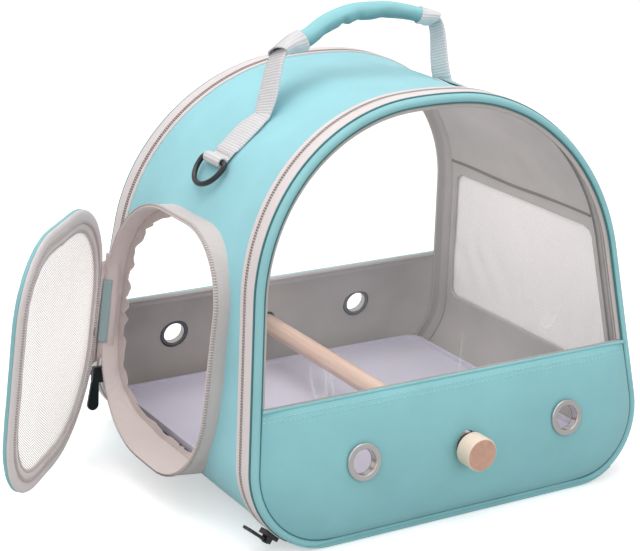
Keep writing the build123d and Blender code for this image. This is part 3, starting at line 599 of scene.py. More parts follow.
def ordered(bm, start):
    """Points of a wire, walked from its first vertex."""
    found, last, here = [start.co.copy()], None, start
    while True:
        nexts = [e.other_vert(here) for e in here.link_edges if e.other_vert(here) != last]
        if not nexts or nexts[0] == start:
            return found
        last, here = here, nexts[0]
        found.append(here.co.copy())


def arch_wire(inset=0.0, fine=1):
    """Closed arch, as points (x, up the panel), starting at the middle of the base and going right."""
    bm = bmesh.new()
    first = bm.verts.new((0, inset, 0))
    tip = first

    def straight(move):
        """Runs the wire on in a straight line."""
        nonlocal tip
        made = bmesh.ops.extrude_vert_indiv(bm, verts=[tip])
        tip = made["verts"][0]
        bmesh.ops.translate(bm, verts=[tip], vec=move)

    def arc(centre, angle, steps):
        """Runs the wire on round a centre."""
        nonlocal tip
        made = bmesh.ops.spin(bm, geom=[tip], cent=(*centre, 0), axis=(0, 0, 1), angle=radians(angle),
                              steps=steps)
        tip = [g for g in made["geom_last"] if isinstance(g, bmesh.types.BMVert)][0]

    for _ in range(6 * fine):
        straight((CORNER_X / 6 / fine, 0, 0))
    arc((CORNER_X, CORNER_R), 90 + WALL_LEAN, 12 * fine)
    for _ in range(8 * fine):
        straight((-LEAN_SIN * SIDE_RUN / 8 / fine, LEAN_COS * SIDE_RUN / 8 / fine, 0))
    arc((SHOULDER_X, SHOULDER_Y), CROWN_START - WALL_LEAN, 22 * fine)
    arc((0, PANEL_HEIGHT - CROWN_R), 90 - CROWN_START, 3 * fine)
    half = [(p.x, p.y) for p in ordered(bm, first)]
    bm.free()
    return half + [(-x, y) for x, y in reversed(half[1:-1])]


def between(start, end, parts=6):
    """Points that divide a straight run, without its ends."""
    return [tuple(a + (b - a) * k / parts for a, b in zip(start, end)) for k in range(1, parts)]


def outline_wire(rear, front, low, high, radii, steps=14):
    """Closed rounded rectangle, as points, anticlockwise from its rear low corner."""
    bm = bmesh.new()
    points = []
    corners = ((rear, low, 1, 1, 180), (front, low, -1, 1, 270),
               (front, high, -1, -1, 0), (rear, high, 1, -1, 90))
    for (x, y, right, up, angle), radius in zip(corners, radii):
        centre = (x + right * radius, y + up * radius, 0)
        turned = radians(angle)
        start = bm.verts.new((centre[0] + radius * cos(turned), centre[1] + radius * sin(turned), 0))
        bmesh.ops.spin(bm, geom=[start], cent=centre, axis=(0, 0, 1), angle=pi / 2, steps=steps)
        arc = [(p.x, p.y) for p in ordered(bm, start)]
        if points:
            points += between(points[-1], arc[0])
        points += arc
    bm.free()
    return points + between(points[-1], points[0])


def opening_wire(grow=0.0, spread=0.0):
    """Side opening grown outwards; spread widens its front, low and high sides."""
    return outline_wire(-OPEN_REAR - grow, OPEN_FRONT + grow + spread, OPEN_LOW - grow - spread / 2,
                        OPEN_HIGH + grow + spread / 2, [radius + grow for radius in OPEN_RADII])


def loft(loops, closed_across=False, closed_along=True):
    """Skin through loops of equal length, each a list of points, with the run along them kept."""
    bm = bmesh.new()
    run = bm.verts.layers.float.new("run")
    row = [bm.verts.new(p) for p in loops[0]]
    distance = 0.0
    for vert, p, q in zip(row, loops[0], [loops[0][0]] + loops[0][:-1]):
        distance += (Vector(p) - Vector(q)).length
        vert[run] = distance
    count = len(row)
    edges = [bm.edges.new((row[i], row[(i + 1) % count]))
             for i in range(count if closed_along else count - 1)]
    first_edges = edges
    for loop in loops[1:]:
        made = bmesh.ops.extrude_edge_only(bm, edges=edges)
        bm.verts.ensure_lookup_table()
        new = [g for g in made["geom"] if isinstance(g, bmesh.types.BMVert)]
        edges = [g for g in made["geom"]
                 if isinstance(g, bmesh.types.BMEdge) and all(v in new for v in g.verts)]
        row = follow(row, new)
        for vert, p in zip(row, loop):
            vert.co = p
    if closed_across:
        bmesh.ops.bridge_loops(bm, edges=edges + first_edges)
    bmesh.ops.recalc_face_normals(bm, faces=bm.faces)
    return bm


def follow(row, new):
    """The new vertices in the order of the row that they were extruded from."""
    fresh = set(new)
    return [next(e.other_vert(v) for e in v.link_edges if e.other_vert(v) in fresh) for v in row]


def on_panel(side, x, up, proud=0.0, back=0.0):
    """Point on the front (-1) or rear (1) panel's plane, moved proud of it or straight back."""
    deep = BASE_DEPTH / 2 - back - up * sin(PANEL_LEAN) + proud * PANEL_COS
    return (-side * x, side * deep, up * PANEL_COS + proud * sin(PANEL_LEAN))


def panel_ring(side, section, fine=1, low=None, closed=True):
    """Ring round the arch whose section is a list of (inset, back, proud)."""
    loops = []
    for inset, back, proud in section:
        loops.append([on_panel(side, x, up, proud, back) for x, up in arch_wire(inset, fine)])
    bm = loft(loops, closed_across=closed)
    if low is not None:
        cut = bmesh.ops.bisect_plane(bm, geom=everything(bm), plane_co=(0, 0, low),
                                     plane_no=(0, 0, 1), clear_inner=True)
        cut_edges = [g for g in cut["geom_cut"] if isinstance(g, bmesh.types.BMEdge)]
        bmesh.ops.holes_fill(bm, edges=cut_edges, sides=0)
    return bm


def wall_point(x, up, out=0.0):
    """Point on the left wall's plane; x runs towards the front."""
    return (-WALL_X + up * sin(WALL_TILT) - out * cos(WALL_TILT), -x,
            up * cos(WALL_TILT) + out * sin(WALL_TILT))


ARCH_XZ = [(x, up * PANEL_COS) for x, up in arch_wire(0.0, 3)]


def wrap_depth(up):
    """How far behind the left wall's plane the wrap's surface lies, at a height along the plane."""
    ox, _, oz = wall_point(0, up)
    dx, dz = cos(WALL_TILT), -sin(WALL_TILT)
    best = 0.0
    for (ax, az), (bx, bz) in zip(ARCH_XZ, ARCH_XZ[1:] + ARCH_XZ[:1]):
        if max(ax, bx) > -60:
            continue
        ex, ez = bx - ax, bz - az
        bottom = dx * ez - dz * ex
        if abs(bottom) < 1e-9:
            continue
        t = ((ax - ox) * ez - (az - oz) * ex) / bottom
        s = ((ax - ox) * dz - (az - oz) * dx) / bottom
        if -0.01 <= s <= 1.01 and -2 < t < 90:
            best = max(best, t)
    return best


wall_x = Vector((0, -1, 0))
wall_up = Vector((sin(WALL_TILT), 0, cos(WALL_TILT)))
wall_out = Vector((-cos(WALL_TILT), 0, sin(WALL_TILT)))
turn = Matrix.Rotation(-DOOR_OPEN, 3, "Z")
hinge_middle = Vector(wall_point(HINGE_X, (HINGE_LOW + HINGE_HIGH) / 2, COLLAR_PROUD + 0.7))
hinge_foot = Vector(wall_point(HINGE_X, 0, COLLAR_PROUD + 0.7))
hinge_origin = hinge_middle + turn @ (hinge_foot - hinge_middle) - Vector((0, 0, DOOR_DROP))
door_x, door_up, door_out = turn @ wall_x, turn @ wall_up, turn @ wall_out


def door_point(x, up, out=0.0):
    """Point on the open door's plane; x runs from its hinge."""
    return hinge_origin + door_x * x + door_up * up + door_out * out


def door_wire(inset=0.0):
    """Outline of the door, measured from its hinge."""
    return [(x - HINGE_X, up) for x, up in opening_wire(1.0 - inset, DOOR_SPREAD)]


# ---------------------------------------------------------------- wrap: walls, roof and linings
def wrap(inset, cuts, keep, along=26, fine=2):
    """Cloth of the wrap between the zips, at an inset, cut at planes and kept where keep(x, z) says."""
    ring = arch_wire(inset, fine)
    loops = []
    for k in range(along + 1):
        across = -1 + 2 * k / along
        reach = BASE_DEPTH / 2 - BODY_TAPE_BACK + UNDER_TAPE
        loops.append([(x, across * (reach - up * sin(PANEL_LEAN)), up * PANEL_COS) for x, up in ring])
    bm = loft(loops)
    for point, normal in cuts:
        bmesh.ops.bisect_plane(bm, geom=everything(bm), plane_co=point, plane_no=normal)
    spare = [f for f in bm.faces if not keep(f.calc_center_median().x, f.calc_center_median().z)]
    bmesh.ops.delete(bm, geom=spare, context="FACES")
    bmesh.ops.recalc_face_normals(bm, faces=bm.faces)
    middle = Vector((0, 0, 100))
    if sum(f.normal.dot((f.calc_center_median() - middle) * Vector((1, 0, 1))) for f in bm.faces) < 0:
        bmesh.ops.reverse_faces(bm, faces=bm.faces)
    return bm


def puff(bm, amount, scale, seed, hold=None):
    """Moves a cloth in and out along its normals by soft noise, less near held places."""
    bm.normal_update()
    moves = []
    for vert in bm.verts:
        n = noise.noise(Vector(vert.co) / scale + Vector((seed, seed * 2.3, -seed)))
        moves.append((vert, vert.normal * n * amount * (hold(vert.co) if hold else 1.0)))
    for vert, move in moves:
        vert.co += move


def rest_on_floor(bm):
    """Keeps padded cloth from swelling below the base."""
    for vertex in bm.verts:
        vertex.co.z = max(vertex.co.z, 0.0)


def edge_hold(co):
    """0 at the zips and 1 in the middle of the wrap."""
    reach = BASE_DEPTH / 2 - BODY_TAPE_BACK - co.z * PANEL_TAN
    return clamp((reach - abs(co.y)) / 25.0)


def settle(bm, depth):
    """Lets the top of a cloth sink between the zips, most along the crown."""
    for vertex in bm.verts:
        top = clamp((vertex.co.z - HOLLOW_FROM) / (HEIGHT - HOLLOW_FROM))
        vertex.co.z -= depth * top * edge_hold(vertex.co) ** 0.7


def plane_prism(points, place, low, high):
    """Closed cutter from an outline between two depths."""
    bm = loft([[place(x, y, low) for x, y in points], [place(x, y, high) for x, y in points]])
    bmesh.ops.holes_fill(bm, edges=rims(bm), sides=0)
    bmesh.ops.recalc_face_normals(bm, faces=bm.faces)
    bmesh.ops.scale(bm, verts=bm.verts, vec=(MM, MM, MM))
    mesh = bpy.data.meshes.new("cutter")
    bm.to_mesh(mesh)
    bm.free()
    cutter = bpy.data.objects.new("cutter", mesh)
    bpy.context.scene.collection.objects.link(cutter)
    return cutter


def right_wall_point(x, up, out=0.0):
    """Point on the right wall's plane; x runs towards the rear."""
    px, _, pz = wall_point(x, up, out)
    return (-px, x, pz)


def opening_cutter(grow):
    """Cutter for the side opening, right through the left wall."""
    return plane_prism(opening_wire(grow), wall_point, -60.0, 30.0)


def mesh_half(up):
    """Half width of the net's window at a height up the wall."""
    return MESH_HALF_LOW + (MESH_HALF_HIGH - MESH_HALF_LOW) * (up - MESH_LOW) / (MESH_HIGH - MESH_LOW)


def mesh_outline(grow):
    """Rounded outline of the net's window on the right wall, wider at its foot."""
    low, high = MESH_LOW - grow, MESH_HIGH + grow
    corners = [(-1, low), (1, low), (1, high), (-1, high)]
    points = []
    for k, (side, up) in enumerate(corners):
        corner = Vector((side * (mesh_half(up) + grow), up))
        for other in (corners[k - 1], corners[(k + 1) % 4]):
            away = Vector((other[0] * (mesh_half(other[1]) + grow), other[1])) - corner
            points.append(corner + away.normalized() * (MESH_CORNER + grow))
        start, end = points[-2], points[-1]
        middle = corner * 0.34 + (start + end) * 0.33
        points[-2:] = [start, start * 0.45 + middle * 0.5 + end * 0.05, middle,
                       end * 0.45 + middle * 0.5 + start * 0.05, end]
    return [tuple(p) for p in points]


def mesh_cutter(grow):
    """Cutter for the net's window, right through the right wall."""
    return plane_prism(mesh_outline(grow), right_wall_point, -40.0, 30.0)


BASE_CUTS = [((-CORNER_X, 0, 0), (1, 0, 0)), ((CORNER_X, 0, 0), (1, 0, 0)), ((0, 0, RIGHT_SEAM), (0, 0, 1))]

main_cloth = wrap(0.0, BASE_CUTS, lambda x, z: z > RIGHT_SEAM or x < -CORNER_X)
settle(main_cloth, ROOF_HOLLOW)
puff(main_cloth, 1.5, 55.0, 3.0, edge_hold)
rest_on_floor(main_cloth)
main = finish_piece(main_cloth, "left_wall_and_roof_cloth", "carrier", TEAL_ROOF)
thicken(main, SHELL)
cut_away(main, opening_cutter(-0.6))
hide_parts("left_wall", "roof_panel")

right_cloth = wrap(0.0, BASE_CUTS, lambda x, z: z < RIGHT_SEAM and x > CORNER_X)
puff(right_cloth, 1.5, 45.0, 8.0, edge_hold)
rest_on_floor(right_cloth)
right_wall = finish_piece(right_cloth, "right_wall_cloth", "carrier", TEAL_WALL)
thicken(right_wall, SHELL)
cut_away(right_wall, mesh_cutter(1.6))
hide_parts("right_wall")

base_cloth = wrap(0.0, BASE_CUTS, lambda x, z: z < 20 and abs(x) < CORNER_X)
base = finish_piece(base_cloth, "base_cloth", "carrier", TEAL_PANEL)
thicken(base, 3.2)
bake(base)
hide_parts("base_panel")

inner_cloth = wrap(SHELL + 1.6, [((0, 0, 9.0), (0, 0, 1))], lambda x, z: z > 9.0)
settle(inner_cloth, LINING_HOLLOW)
puff(inner_cloth, 1.0, 38.0, 21.0, edge_hold)
inner = finish_piece(inner_cloth, "lining_cloth", "carrier", GREY_LINING)
thicken(inner, 0.8)
cut_away(inner, opening_cutter(-COLLAR - 0.5))
cut_away(inner, mesh_cutter(-1.0))
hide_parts("lining")

# ---------------------------------------------------------------- zips and welts
# Sections of the bands sewn round the arch: (inset from its outline, back from the panel, proud of it).
BODY_TAPE_SECTION = [
    (0.4, 17.2, 0), (-0.6, 17.5, 0), (-0.7, 18.4, 0), (-0.6, 19.3, 0), (-0.9, 19.8, 0), (-1.1, 20.5, 0),
    (-0.8, 21.2, 0), (0.4, 21.5, 0), (1.6, 21.0, 0), (1.6, 17.2, 0)]
PANEL_TAPE_SECTION = [
    (0.6, 4.0, 0), (-0.7, 4.3, 0), (-1.2, 5.6, 0), (-1.2, 12.0, 0), (-0.8, 13.9, 0), (0.6, 14.1, 0),
    (1.6, 13.0, 0), (1.6, 4.4, 0)]
BODY_COIL_SECTION = [(0.8, 15.5, 0), (-0.5, 15.6, 0), (-1.1, 16.1, 0), (-1.0, 16.9, 0), (0.8, 17.3, 0)]
PANEL_COIL_SECTION = [(0.8, 13.9, 0), (-1.0, 14.1, 0), (-1.1, 14.8, 0), (-0.5, 15.2, 0), (0.8, 15.3, 0)]
WELT_SECTION = [
    (1.0, 4.0, 0), (0.1, 2.6, 0), (0.5, 0.9, 0), (1.6, 0, 0.6), (3.0, 0, 1.0), (4.4, 0, 0.6), (5.4, 0, -0.5),
    (6.0, 0, -1.9), (5.9, 0, -3.5), (3.6, 0, -4.0)]
FILM_BINDING_SECTION = [
    (5.6, 0, -2.2), (6.4, 0, -1.5), (8.0, 0, -1.6), (8.8, 0, -2.4), (8.8, 0, -3.2), (5.8, 0, -3.2)]
INNER_SEAM_SECTION = [(5.0, 0, -0.9), (5.5, 0, 0.0), (6.2, 0, -0.1), (6.4, 0, -1.2), (5.8, 0, -2.2)]
OUTER_SEAM_SECTION = [(0.5, 3.1, 0), (-0.5, 3.3, 0), (-0.7, 4.0, 0), (0.5, 4.4, 0)]
HINGE_STRIP_SECTION = [
    (0.2, 0.3, 0), (-0.1, 2.0, 0), (0.0, 12.0, 0), (0.0, 23.6, 0), (3.2, 24.0, 0), (3.4, 12.0, 0),
    (3.2, 0.6, 0)]
PANEL_COVER_SECTION = [
    (WELT + 3.4, 3.5, 0), (WELT + 3.0, 4.6, 0), (WELT - 1.0, 5.0, 0), (3.0, 5.2, 0), (2.3, 5.9, 0),
    (2.2, 15.2, 0)]
WRAP_COVER_SECTION = [(2.1, 15.8, 0), (2.3, 18.0, 0), (3.6, 21.0, 0), (3.9, 24.5, 0)]

for name, side in SIDES:
    for band, body, section, low, made_of, material, slot in (
            ("body_tape", "carrier", BODY_TAPE_SECTION, STRIP_TOP, "cloth", BLUSH_TAPE, "blush_tape"),
            ("panel_tape", f"{name}_panel", PANEL_TAPE_SECTION, STRIP_TOP, "cloth", BLUSH_TAPE, "blush_tape"),
            ("body_coil", "carrier", BODY_COIL_SECTION, STRIP_TOP, "teeth", COIL, "zip_coil"),
            ("panel_coil", f"{name}_panel", PANEL_COIL_SECTION, STRIP_TOP, "teeth", COIL, "zip_coil"),
            ("welt", f"{name}_panel", WELT_SECTION, WELT_LOW, "cloth", TEAL_WELT, "teal_cloth")):
        ring = panel_ring(side, section, 2, low)
        piece = finish_piece(ring, f"{name}_{band}_{made_of}", body, material)
        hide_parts(f"{name}_{band}")

    # Clear window with a shallow outward swell.
    bm = bmesh.new()
    bmesh.ops.create_grid(bm, x_segments=40, y_segments=36, size=1.0)
    levels = sorted((up, x) for x, up in arch_wire(WELT - 1.0, 3) if x >= 0 and up > 60)
    low, high = HEM_HEIGHT - 6.0, PANEL_HEIGHT - WELT + 0.9
    for vert in bm.verts:
        # The rows crowd towards the crown, where the arch narrows fast.
        a, b = vert.co.x, sin((vert.co.y + 1) / 2 * pi / 2)
        up = low + (high - low) * b
        x = a * lookup(levels, up)
        fullness = 1.82 * (1 - a * a) * sin(pi * clamp(b))
        ripple = 0.5 * noise.noise(Vector((x, up, side * 90)) / 60)
        vert.co = on_panel(side, x, up, -2.6 + fullness + ripple)
    bmesh.ops.remove_doubles(bm, verts=bm.verts, dist=0.05)
    bmesh.ops.recalc_face_normals(bm, faces=bm.faces)
    piece = finish_piece(bm, f"{name}_window_film", f"{name}_panel", FILM)
    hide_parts(f"{name}_window")

# ---------------------------------------------------------------- grey bindings that cover the zips inside
for name, side in SIDES:
    for band, body, section in (("inner_binding", f"{name}_panel", PANEL_COVER_SECTION),
                                ("wrap_binding", "carrier", WRAP_COVER_SECTION)):
        ring = panel_ring(side, section, 2, None, False)
        piece = finish_piece(ring, f"{name}_{band}", body, GREY_LINING)
        thicken(piece, BINDING, 0.0)
        bake(piece)


# ---------------------------------------------------------------- lower panels
def half_width_table(inset):
    """Rows of (height up the panel, half width) down the side of the arch, at an inset."""
    return sorted((up, x) for x, up in arch_wire(inset, 3) if x >= CORNER_X - 1 and up < 130)


EDGE = half_width_table(WELT)


def swell(x, up, depth=0.0):
    """How far the lower cloth stands proud: full in the middle, pinched at its seams."""
    rise = clamp((up - WELT) / (HEM_HEIGHT - WELT))
    inward = clamp((lookup(EDGE, up) - abs(x)) / PINCH)
    return (BULGE - depth) * sin(pi * rise) ** 0.55 * (1 - (1 - inward) ** 2.4)


def lower_cloth(side, depth, rows=34, columns=96):
    """Pillowed cloth from the lower seam to the hem."""
    bm = bmesh.new()
    bmesh.ops.create_grid(bm, x_segments=columns, y_segments=rows, size=1.0)
    for vert in bm.verts:
        a = vert.co.x
        up = WELT - 0.5 + (HEM_HEIGHT - WELT + 0.5) * (vert.co.y + 1) / 2
        x = a * (lookup(EDGE, up) + 0.4)
        soft = 0.5 * noise.noise(Vector((x / 45, up / 30, side * 7.0))) * min(1, swell(x, up) / 8)
        vert.co = on_panel(side, x, up, swell(x, up) - 0.4 + soft - (depth + 0.3 if depth else 0.0))
    bmesh.ops.recalc_face_normals(bm, faces=bm.faces)
    if sum(f.normal.y for f in bm.faces) * side < 0:
        bmesh.ops.reverse_faces(bm, faces=bm.faces)
    return bm


def circle_points(x, up, radius, steps=40):
    """Circle on a panel, as points (x, up)."""
    return [(x + radius * cos(2 * pi * k / steps), up + radius * sin(2 * pi * k / steps))
            for k in range(steps)]


def panel_cutter(side, x, up, radius):
    """Round cutter through a panel's lower pillow."""
    return plane_prism(circle_points(x, up, radius), lambda a, b, c: on_panel(side, a, b, c), -20.0, 40.0)


def tube(points, radius, lift, squash=1.0, closed=False, around=8):
    """Piping of a radius along points; lift(point) is the way that its squashed height lies."""
    count = len(points)
    angles = [2 * pi * k / around for k in range(around)]
    rings = []
    for i, point in enumerate(points):
        before = Vector(points[i - 1] if i or closed else points[0])
        after = Vector(points[(i + 1) % count] if i < count - 1 or closed else points[-1])
        ahead = (after - before).normalized()
        across = ahead.cross(Vector(lift(point))).normalized() * radius
        out = across.cross(ahead) * squash
        rings.append([Vector(point) + across * cos(angle) + out * sin(angle) for angle in angles])
    bm = loft(rings, closed_across=closed)
    if not closed:
        bmesh.ops.holes_fill(bm, edges=rims(bm), sides=0)
    bmesh.ops.recalc_face_normals(bm, faces=bm.faces)
    return bm


def stitch_row(name, points, lift, body, material, pitch=3.4, length=2.4, radius=0.32):
    """Row of thread stitches lying on a cloth along points; lift(point) is the cloth's outward way."""
    bm = bmesh.new()
    carry = 0.0
    for p, q in zip(points, points[1:]):
        p, q = Vector(p), Vector(q)
        span = (q - p).length
        if span < 1e-6:
            continue
        ahead = (q - p) / span
        at = carry
        while at < span:
            centre = p + ahead * at
            out = Vector(lift(centre)).normalized()
            across = ahead.cross(out).normalized()
            made = bmesh.ops.create_icosphere(bm, subdivisions=1, radius=1.0)
            turn = Matrix((ahead * length / 2, across * radius, out * radius)).transposed().to_4x4()
            bmesh.ops.transform(bm, verts=made["verts"], matrix=Matrix.Translation(centre) @ turn)
            at += pitch
        carry = at - span
    bmesh.ops.recalc_face_normals(bm, faces=bm.faces)
    return finish_piece(bm, name, body, material)


def finish_pillow(piece, side, thickness, perch_lift):
    """Gives a pillow's cloth its thickness and its holes for the eyelets and the perch."""
    thicken(piece, thickness)
    for x in (-EYELET_X, EYELET_X):
        cut_away(piece, panel_cutter(side, x, EYELET_UP, EYELET_HOLE_R))
    cut_away(piece, panel_cutter(side, 0, PERCH_HEIGHT / PANEL_COS + perch_lift, PERCH_HOLE_R))


HEM_STEPS = 90

for name, side in SIDES:
    body = f"{name}_panel"
    panel_out = (0, side * PANEL_COS, sin(PANEL_LEAN))
    cloth = finish_piece(lower_cloth(side, 0.0), f"{name}_lower_cloth", body, TEAL_PANEL)
    finish_pillow(cloth, side, SHELL, 2.2)
    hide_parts(f"{name}_lower_panel")
    back_cloth = lower_cloth(side, SHELL + 0.6)
    back = finish_piece(back_cloth, f"{name}_lower_lining_cloth", body, GREY_LINING)
    finish_pillow(back, side, 0.7, 1.6)
    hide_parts(f"{name}_lower_lining")

    # Rolled hems of the cloth and of its lining.
    reach = lookup(EDGE, HEM_HEIGHT)
    for roll, drop, proud, radius, material, slot in (
            ("hem_roll", 0.5, 0.3, 1.3, TEAL_PANEL, "teal_cloth"),
            ("lining_hem_roll", 0.2, -2.3, 1.5, GREY_LINING, "grey_lining")):
        hem = [on_panel(side, reach * (2 * k / HEM_STEPS - 1), HEM_HEIGHT - drop, proud)
               for k in range(HEM_STEPS + 1)]
        rolled = tube(hem, radius, lambda p, out=panel_out: out)
        finish_piece(rolled, f"{name}_{roll}", body, material)
    # Washers that clench the eyelets inside.
    for place, x in (("left", -EYELET_X), ("right", EYELET_X)):
        depth = SHELL + 2.2 - swell(x, EYELET_UP)
        ring = [on_panel(side, a, b, -depth) for a, b in circle_points(x, EYELET_UP, EYELET_WASHER_R)]
        washer = tube(ring, 1.7, lambda p, out=panel_out: out, squash=0.5, closed=True)
        finish_piece(washer, f"{name}_{place}_eyelet_washer", body, GUNMETAL)
    # Two rows of stitches below the hem.
    for row, drop in enumerate((4.4, 7.2)):
        up = HEM_HEIGHT - drop
        half = lookup(EDGE, up) - 1.5
        line = []
        for k in range(HEM_STEPS + 1):
            x = half * (2 * k / HEM_STEPS - 1)
            line.append(on_panel(side, x, up, swell(x, up) - 0.3))
        stitch_row(f"{name}_hem_stitches_{row}", line, lambda p, out=panel_out: out, body, STITCH)

    # Bound edge of the film, just inside the welt.
    bound = panel_ring(side, FILM_BINDING_SECTION, 2, 100.0)
    finish_piece(bound, f"{name}_film_binding", body, FILM_BINDING)
    # Painted shade: dark tubes in the shaded valleys on both sides of the welt.
    for seam, section, low in (("inner_seam", INNER_SEAM_SECTION, WELT_LOW),
                               ("outer_seam", OUTER_SEAM_SECTION, STRIP_TOP)):
        finish_piece(panel_ring(side, section, 2, low), f"{name}_{seam}", body, SEAM_SHADE)

    # Strip along the base that the panel folds down on.
    strip = panel_ring(side, HINGE_STRIP_SECTION, 2)
    cut = bmesh.ops.bisect_plane(strip, geom=everything(strip), plane_co=(0, 0, STRIP_TOP - 0.3),
                                 plane_no=(0, 0, 1), clear_outer=True)
    cut_edges = [g for g in cut["geom_cut"] if isinstance(g, bmesh.types.BMEdge)]
    bmesh.ops.holes_fill(strip, edges=cut_edges, sides=0)
    piece = finish_piece(strip, f"{name}_hinge_strip_cloth", "carrier", TEAL_PANEL)
    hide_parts(f"{name}_hinge_strip")

# ---------------------------------------------------------------- side opening's collar and frill
depths = [wrap_depth(up) for _, up in opening_wire()]


def rumple(k, count, turns, seed):
    """Smooth closed wobble between -1 and 1 round a ring."""
    angle = 2 * pi * k / count
    return noise.noise(Vector((turns * cos(angle), turns * sin(angle), seed)))


def collar_loop(grow, share, wobble, seed):
    """Loop round the collar at a share of the way from the wrap's surface to the rim."""
    points = opening_wire(grow)
    made = []
    for k, (x, up) in enumerate(points):
        low = -depths[k] - 1.5
        out = low + (COLLAR_PROUD - low) * share
        shift_x, shift_up = (wobble * rumple(k, len(points), 9.0, start) for start in (seed, seed + 5))
        made.append(wall_point(x + shift_x, up + shift_up, out))
    return made


# Section of the collar: (growth of the opening, share of the way to the rim, wobble).
section = [
    (0.3, 0.0, 0), (0.4, 0.25, 0.5), (0.3, 0.5, 0.7), (0.2, 0.75, 0.5), (0.0, 0.93, 0.1), (-0.5, 0.995, 0),
    (-1.3, 1.02, 0), (-2.2, 0.99, 0), (-2.6, 0.92, 0.1), (-2.8, 0.7, 0.6), (-2.7, 0.45, 0.9),
    (-2.6, 0.2, 0.7), (-2.6, -0.15, 0.2)]
loops = [collar_loop(grow, share, wobble, 2.0 + 3 * share) for grow, share, wobble in section]
collar = finish_piece(loft(loops), "door_collar_cloth", "carrier", BLUSH_COLLAR)
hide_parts("door_collar")

# Zip coil round the rim, left out along the hinge.
section = [(0.0, 9.8), (0.6, 10.0), (0.8, 10.9), (0.6, 11.8), (0.0, 12.1)]
loops = [[wall_point(x, up, out) for x, up in opening_wire(grow)] for grow, out in section]
teeth = loft(loops, closed_across=True)
middles = {face: face.calc_center_median() for face in teeth.faces}
unzipped = [f for f, at in middles.items() if at.y > OPEN_REAR - 6 and HINGE_LOW - 4 < at.z < HINGE_HIGH + 6]
bmesh.ops.delete(teeth, geom=unzipped, context="FACES")
piece = finish_piece(teeth, "collar_coil_teeth", "carrier", PALE_COIL)
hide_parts("collar_coil")


def finer(points, parts):
    """Closed loop with each of its runs divided."""
    made = []
    for k, p in enumerate(points):
        q = points[(k + 1) % len(points)]
        made += [tuple(a + (b - a) * j / parts for a, b in zip(p, q)) for j in range(parts)]
    return made


# Frill gathered inside the opening, with its loops from its seam to its free edge.
deep = finer([(depth, 0) for depth in depths], 3)
points = finer(opening_wire(-COLLAR + 0.2), 3)
inner_points = finer(opening_wire(-COLLAR - FRILL), 3)
count = len(points)
loops = []
for j in range(8):
    share = j / 7
    made = []
    for k, ((x, up), (inner_x, inner_up)) in enumerate(zip(points, inner_points)):
        narrow = 0.6 + 0.4 * clamp((up - 40) / 60)
        phase = 2 * pi * RUFFLES * k / count + 2.4 * rumple(k, count, 6.0, 1.0)
        ruffle = (sin(phase) + 0.35 * sin(2.3 * phase + 1)) * 2.0 * share * narrow
        pull = 1.1 * share * rumple(k, count, 12.0, 9.0) + 0.5 * share * cos(phase)
        out = -deep[k][0] - 1.0 - 2.2 * share + ruffle * 0.8
        reach = share * narrow * (1 + 0.12 * rumple(k, count, 7.0, 3.0))
        made.append(wall_point(x + (inner_x - x) * reach + pull * 0.5,
                               up + (inner_up - up) * reach + pull * 0.5, out))
    loops.append(made)
frill = finish_piece(loft(loops), "collar_frill_cloth", "carrier", FRILL_CLOTH)
thicken(frill, 0.6, 0.0)
bake(frill)
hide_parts("collar_frill")


# ---------------------------------------------------------------- door
def door_ring(section, wobble=0.0):
    """Closed band round the door, from a section of (inset from its edge, out from its face)."""
    loops = []
    for inset, out in section:
        points = door_wire(inset)
        count = len(points)
        loops.append([door_point(x, up, out + wobble * rumple(k, count, 12.0, inset))
                      for k, (x, up) in enumerate(points)])
    return loft(loops, closed_across=True)


# Sections of the bands round the door: (inset from its edge, out from its face).
DOOR_EDGE_SECTION = [
    (0.9, 3.4), (0.1, 4.0), (0.1, 5.6), (1.2, 6.5), (6.0, 6.8), (12.0, 6.5), (14.2, 5.2), (14.4, 3.6)]
DOOR_TAPE_SECTION = [
    (0.4, 3.5), (0.0, 2.6), (0.7, 1.5), (2.6, 1.0), (6.6, 1.1), (7.6, 1.5), (10.0, 1.5), (11.0, 1.1),
    (13.4, 1.1), (14.6, 1.9), (14.4, 3.5)]
DOOR_COIL_SECTION = [(7.6, 1.6), (7.9, 0.6), (8.8, 0.2), (9.7, 0.6), (10.0, 1.6)]
DOOR_BINDING_SECTION = [
    (14.0, 1.7), (14.8, 1.2), (15.8, 1.4), (16.5, 2.3), (16.2, 3.5), (15.2, 4.6), (14.0, 4.5)]

for band, section, wobble, made_of, material, slot in (
        ("edge", DOOR_EDGE_SECTION, 0.25, "cloth", TEAL_WALL, "teal_cloth"),
        ("tape", DOOR_TAPE_SECTION, 0.25, "cloth", BLUSH_TAPE, "blush_tape"),
        ("coil", DOOR_COIL_SECTION, 0.0, "teeth", PALE_COIL, "zip_coil"),
        ("binding", DOOR_BINDING_SECTION, 0.7, "cloth", FILM_BINDING, "grey_lining")):
    piece = finish_piece(door_ring(section, wobble), f"door_{band}_{made_of}", "door", material)
    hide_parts(f"door_{band}")

# Net stretched in the binding, from its rim to its middle.
rim = door_wire(16.0)
centre = Vector((sum(x for x, _ in rim) / len(rim), sum(up for _, up in rim) / len(rim)))
loops = []
for j in range(22):
    share = 1 - j / 21.4
    made = []
    for x, up in rim:
        p = centre + (Vector((x, up)) - centre) * share
        ripple = 1.4 * noise.noise(Vector((p.x / 26, p.y / 60, 3.0))) * min(1.0, (1 - share) * 5)
        made.append(door_point(p.x, p.y, 2.9 + ripple))
    loops.append(made)
bm = loft(loops)
pole = door_point(centre.x, centre.y, 2.9)
bmesh.ops.pointmerge(bm, verts=[v for v in bm.verts if (v.co - pole).length < 4.5], merge_co=pole)
piece = finish_piece(bm, "door_net", "door", NET)
thicken(piece, BINDING, 0.0)
bake(piece)
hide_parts("door_mesh")


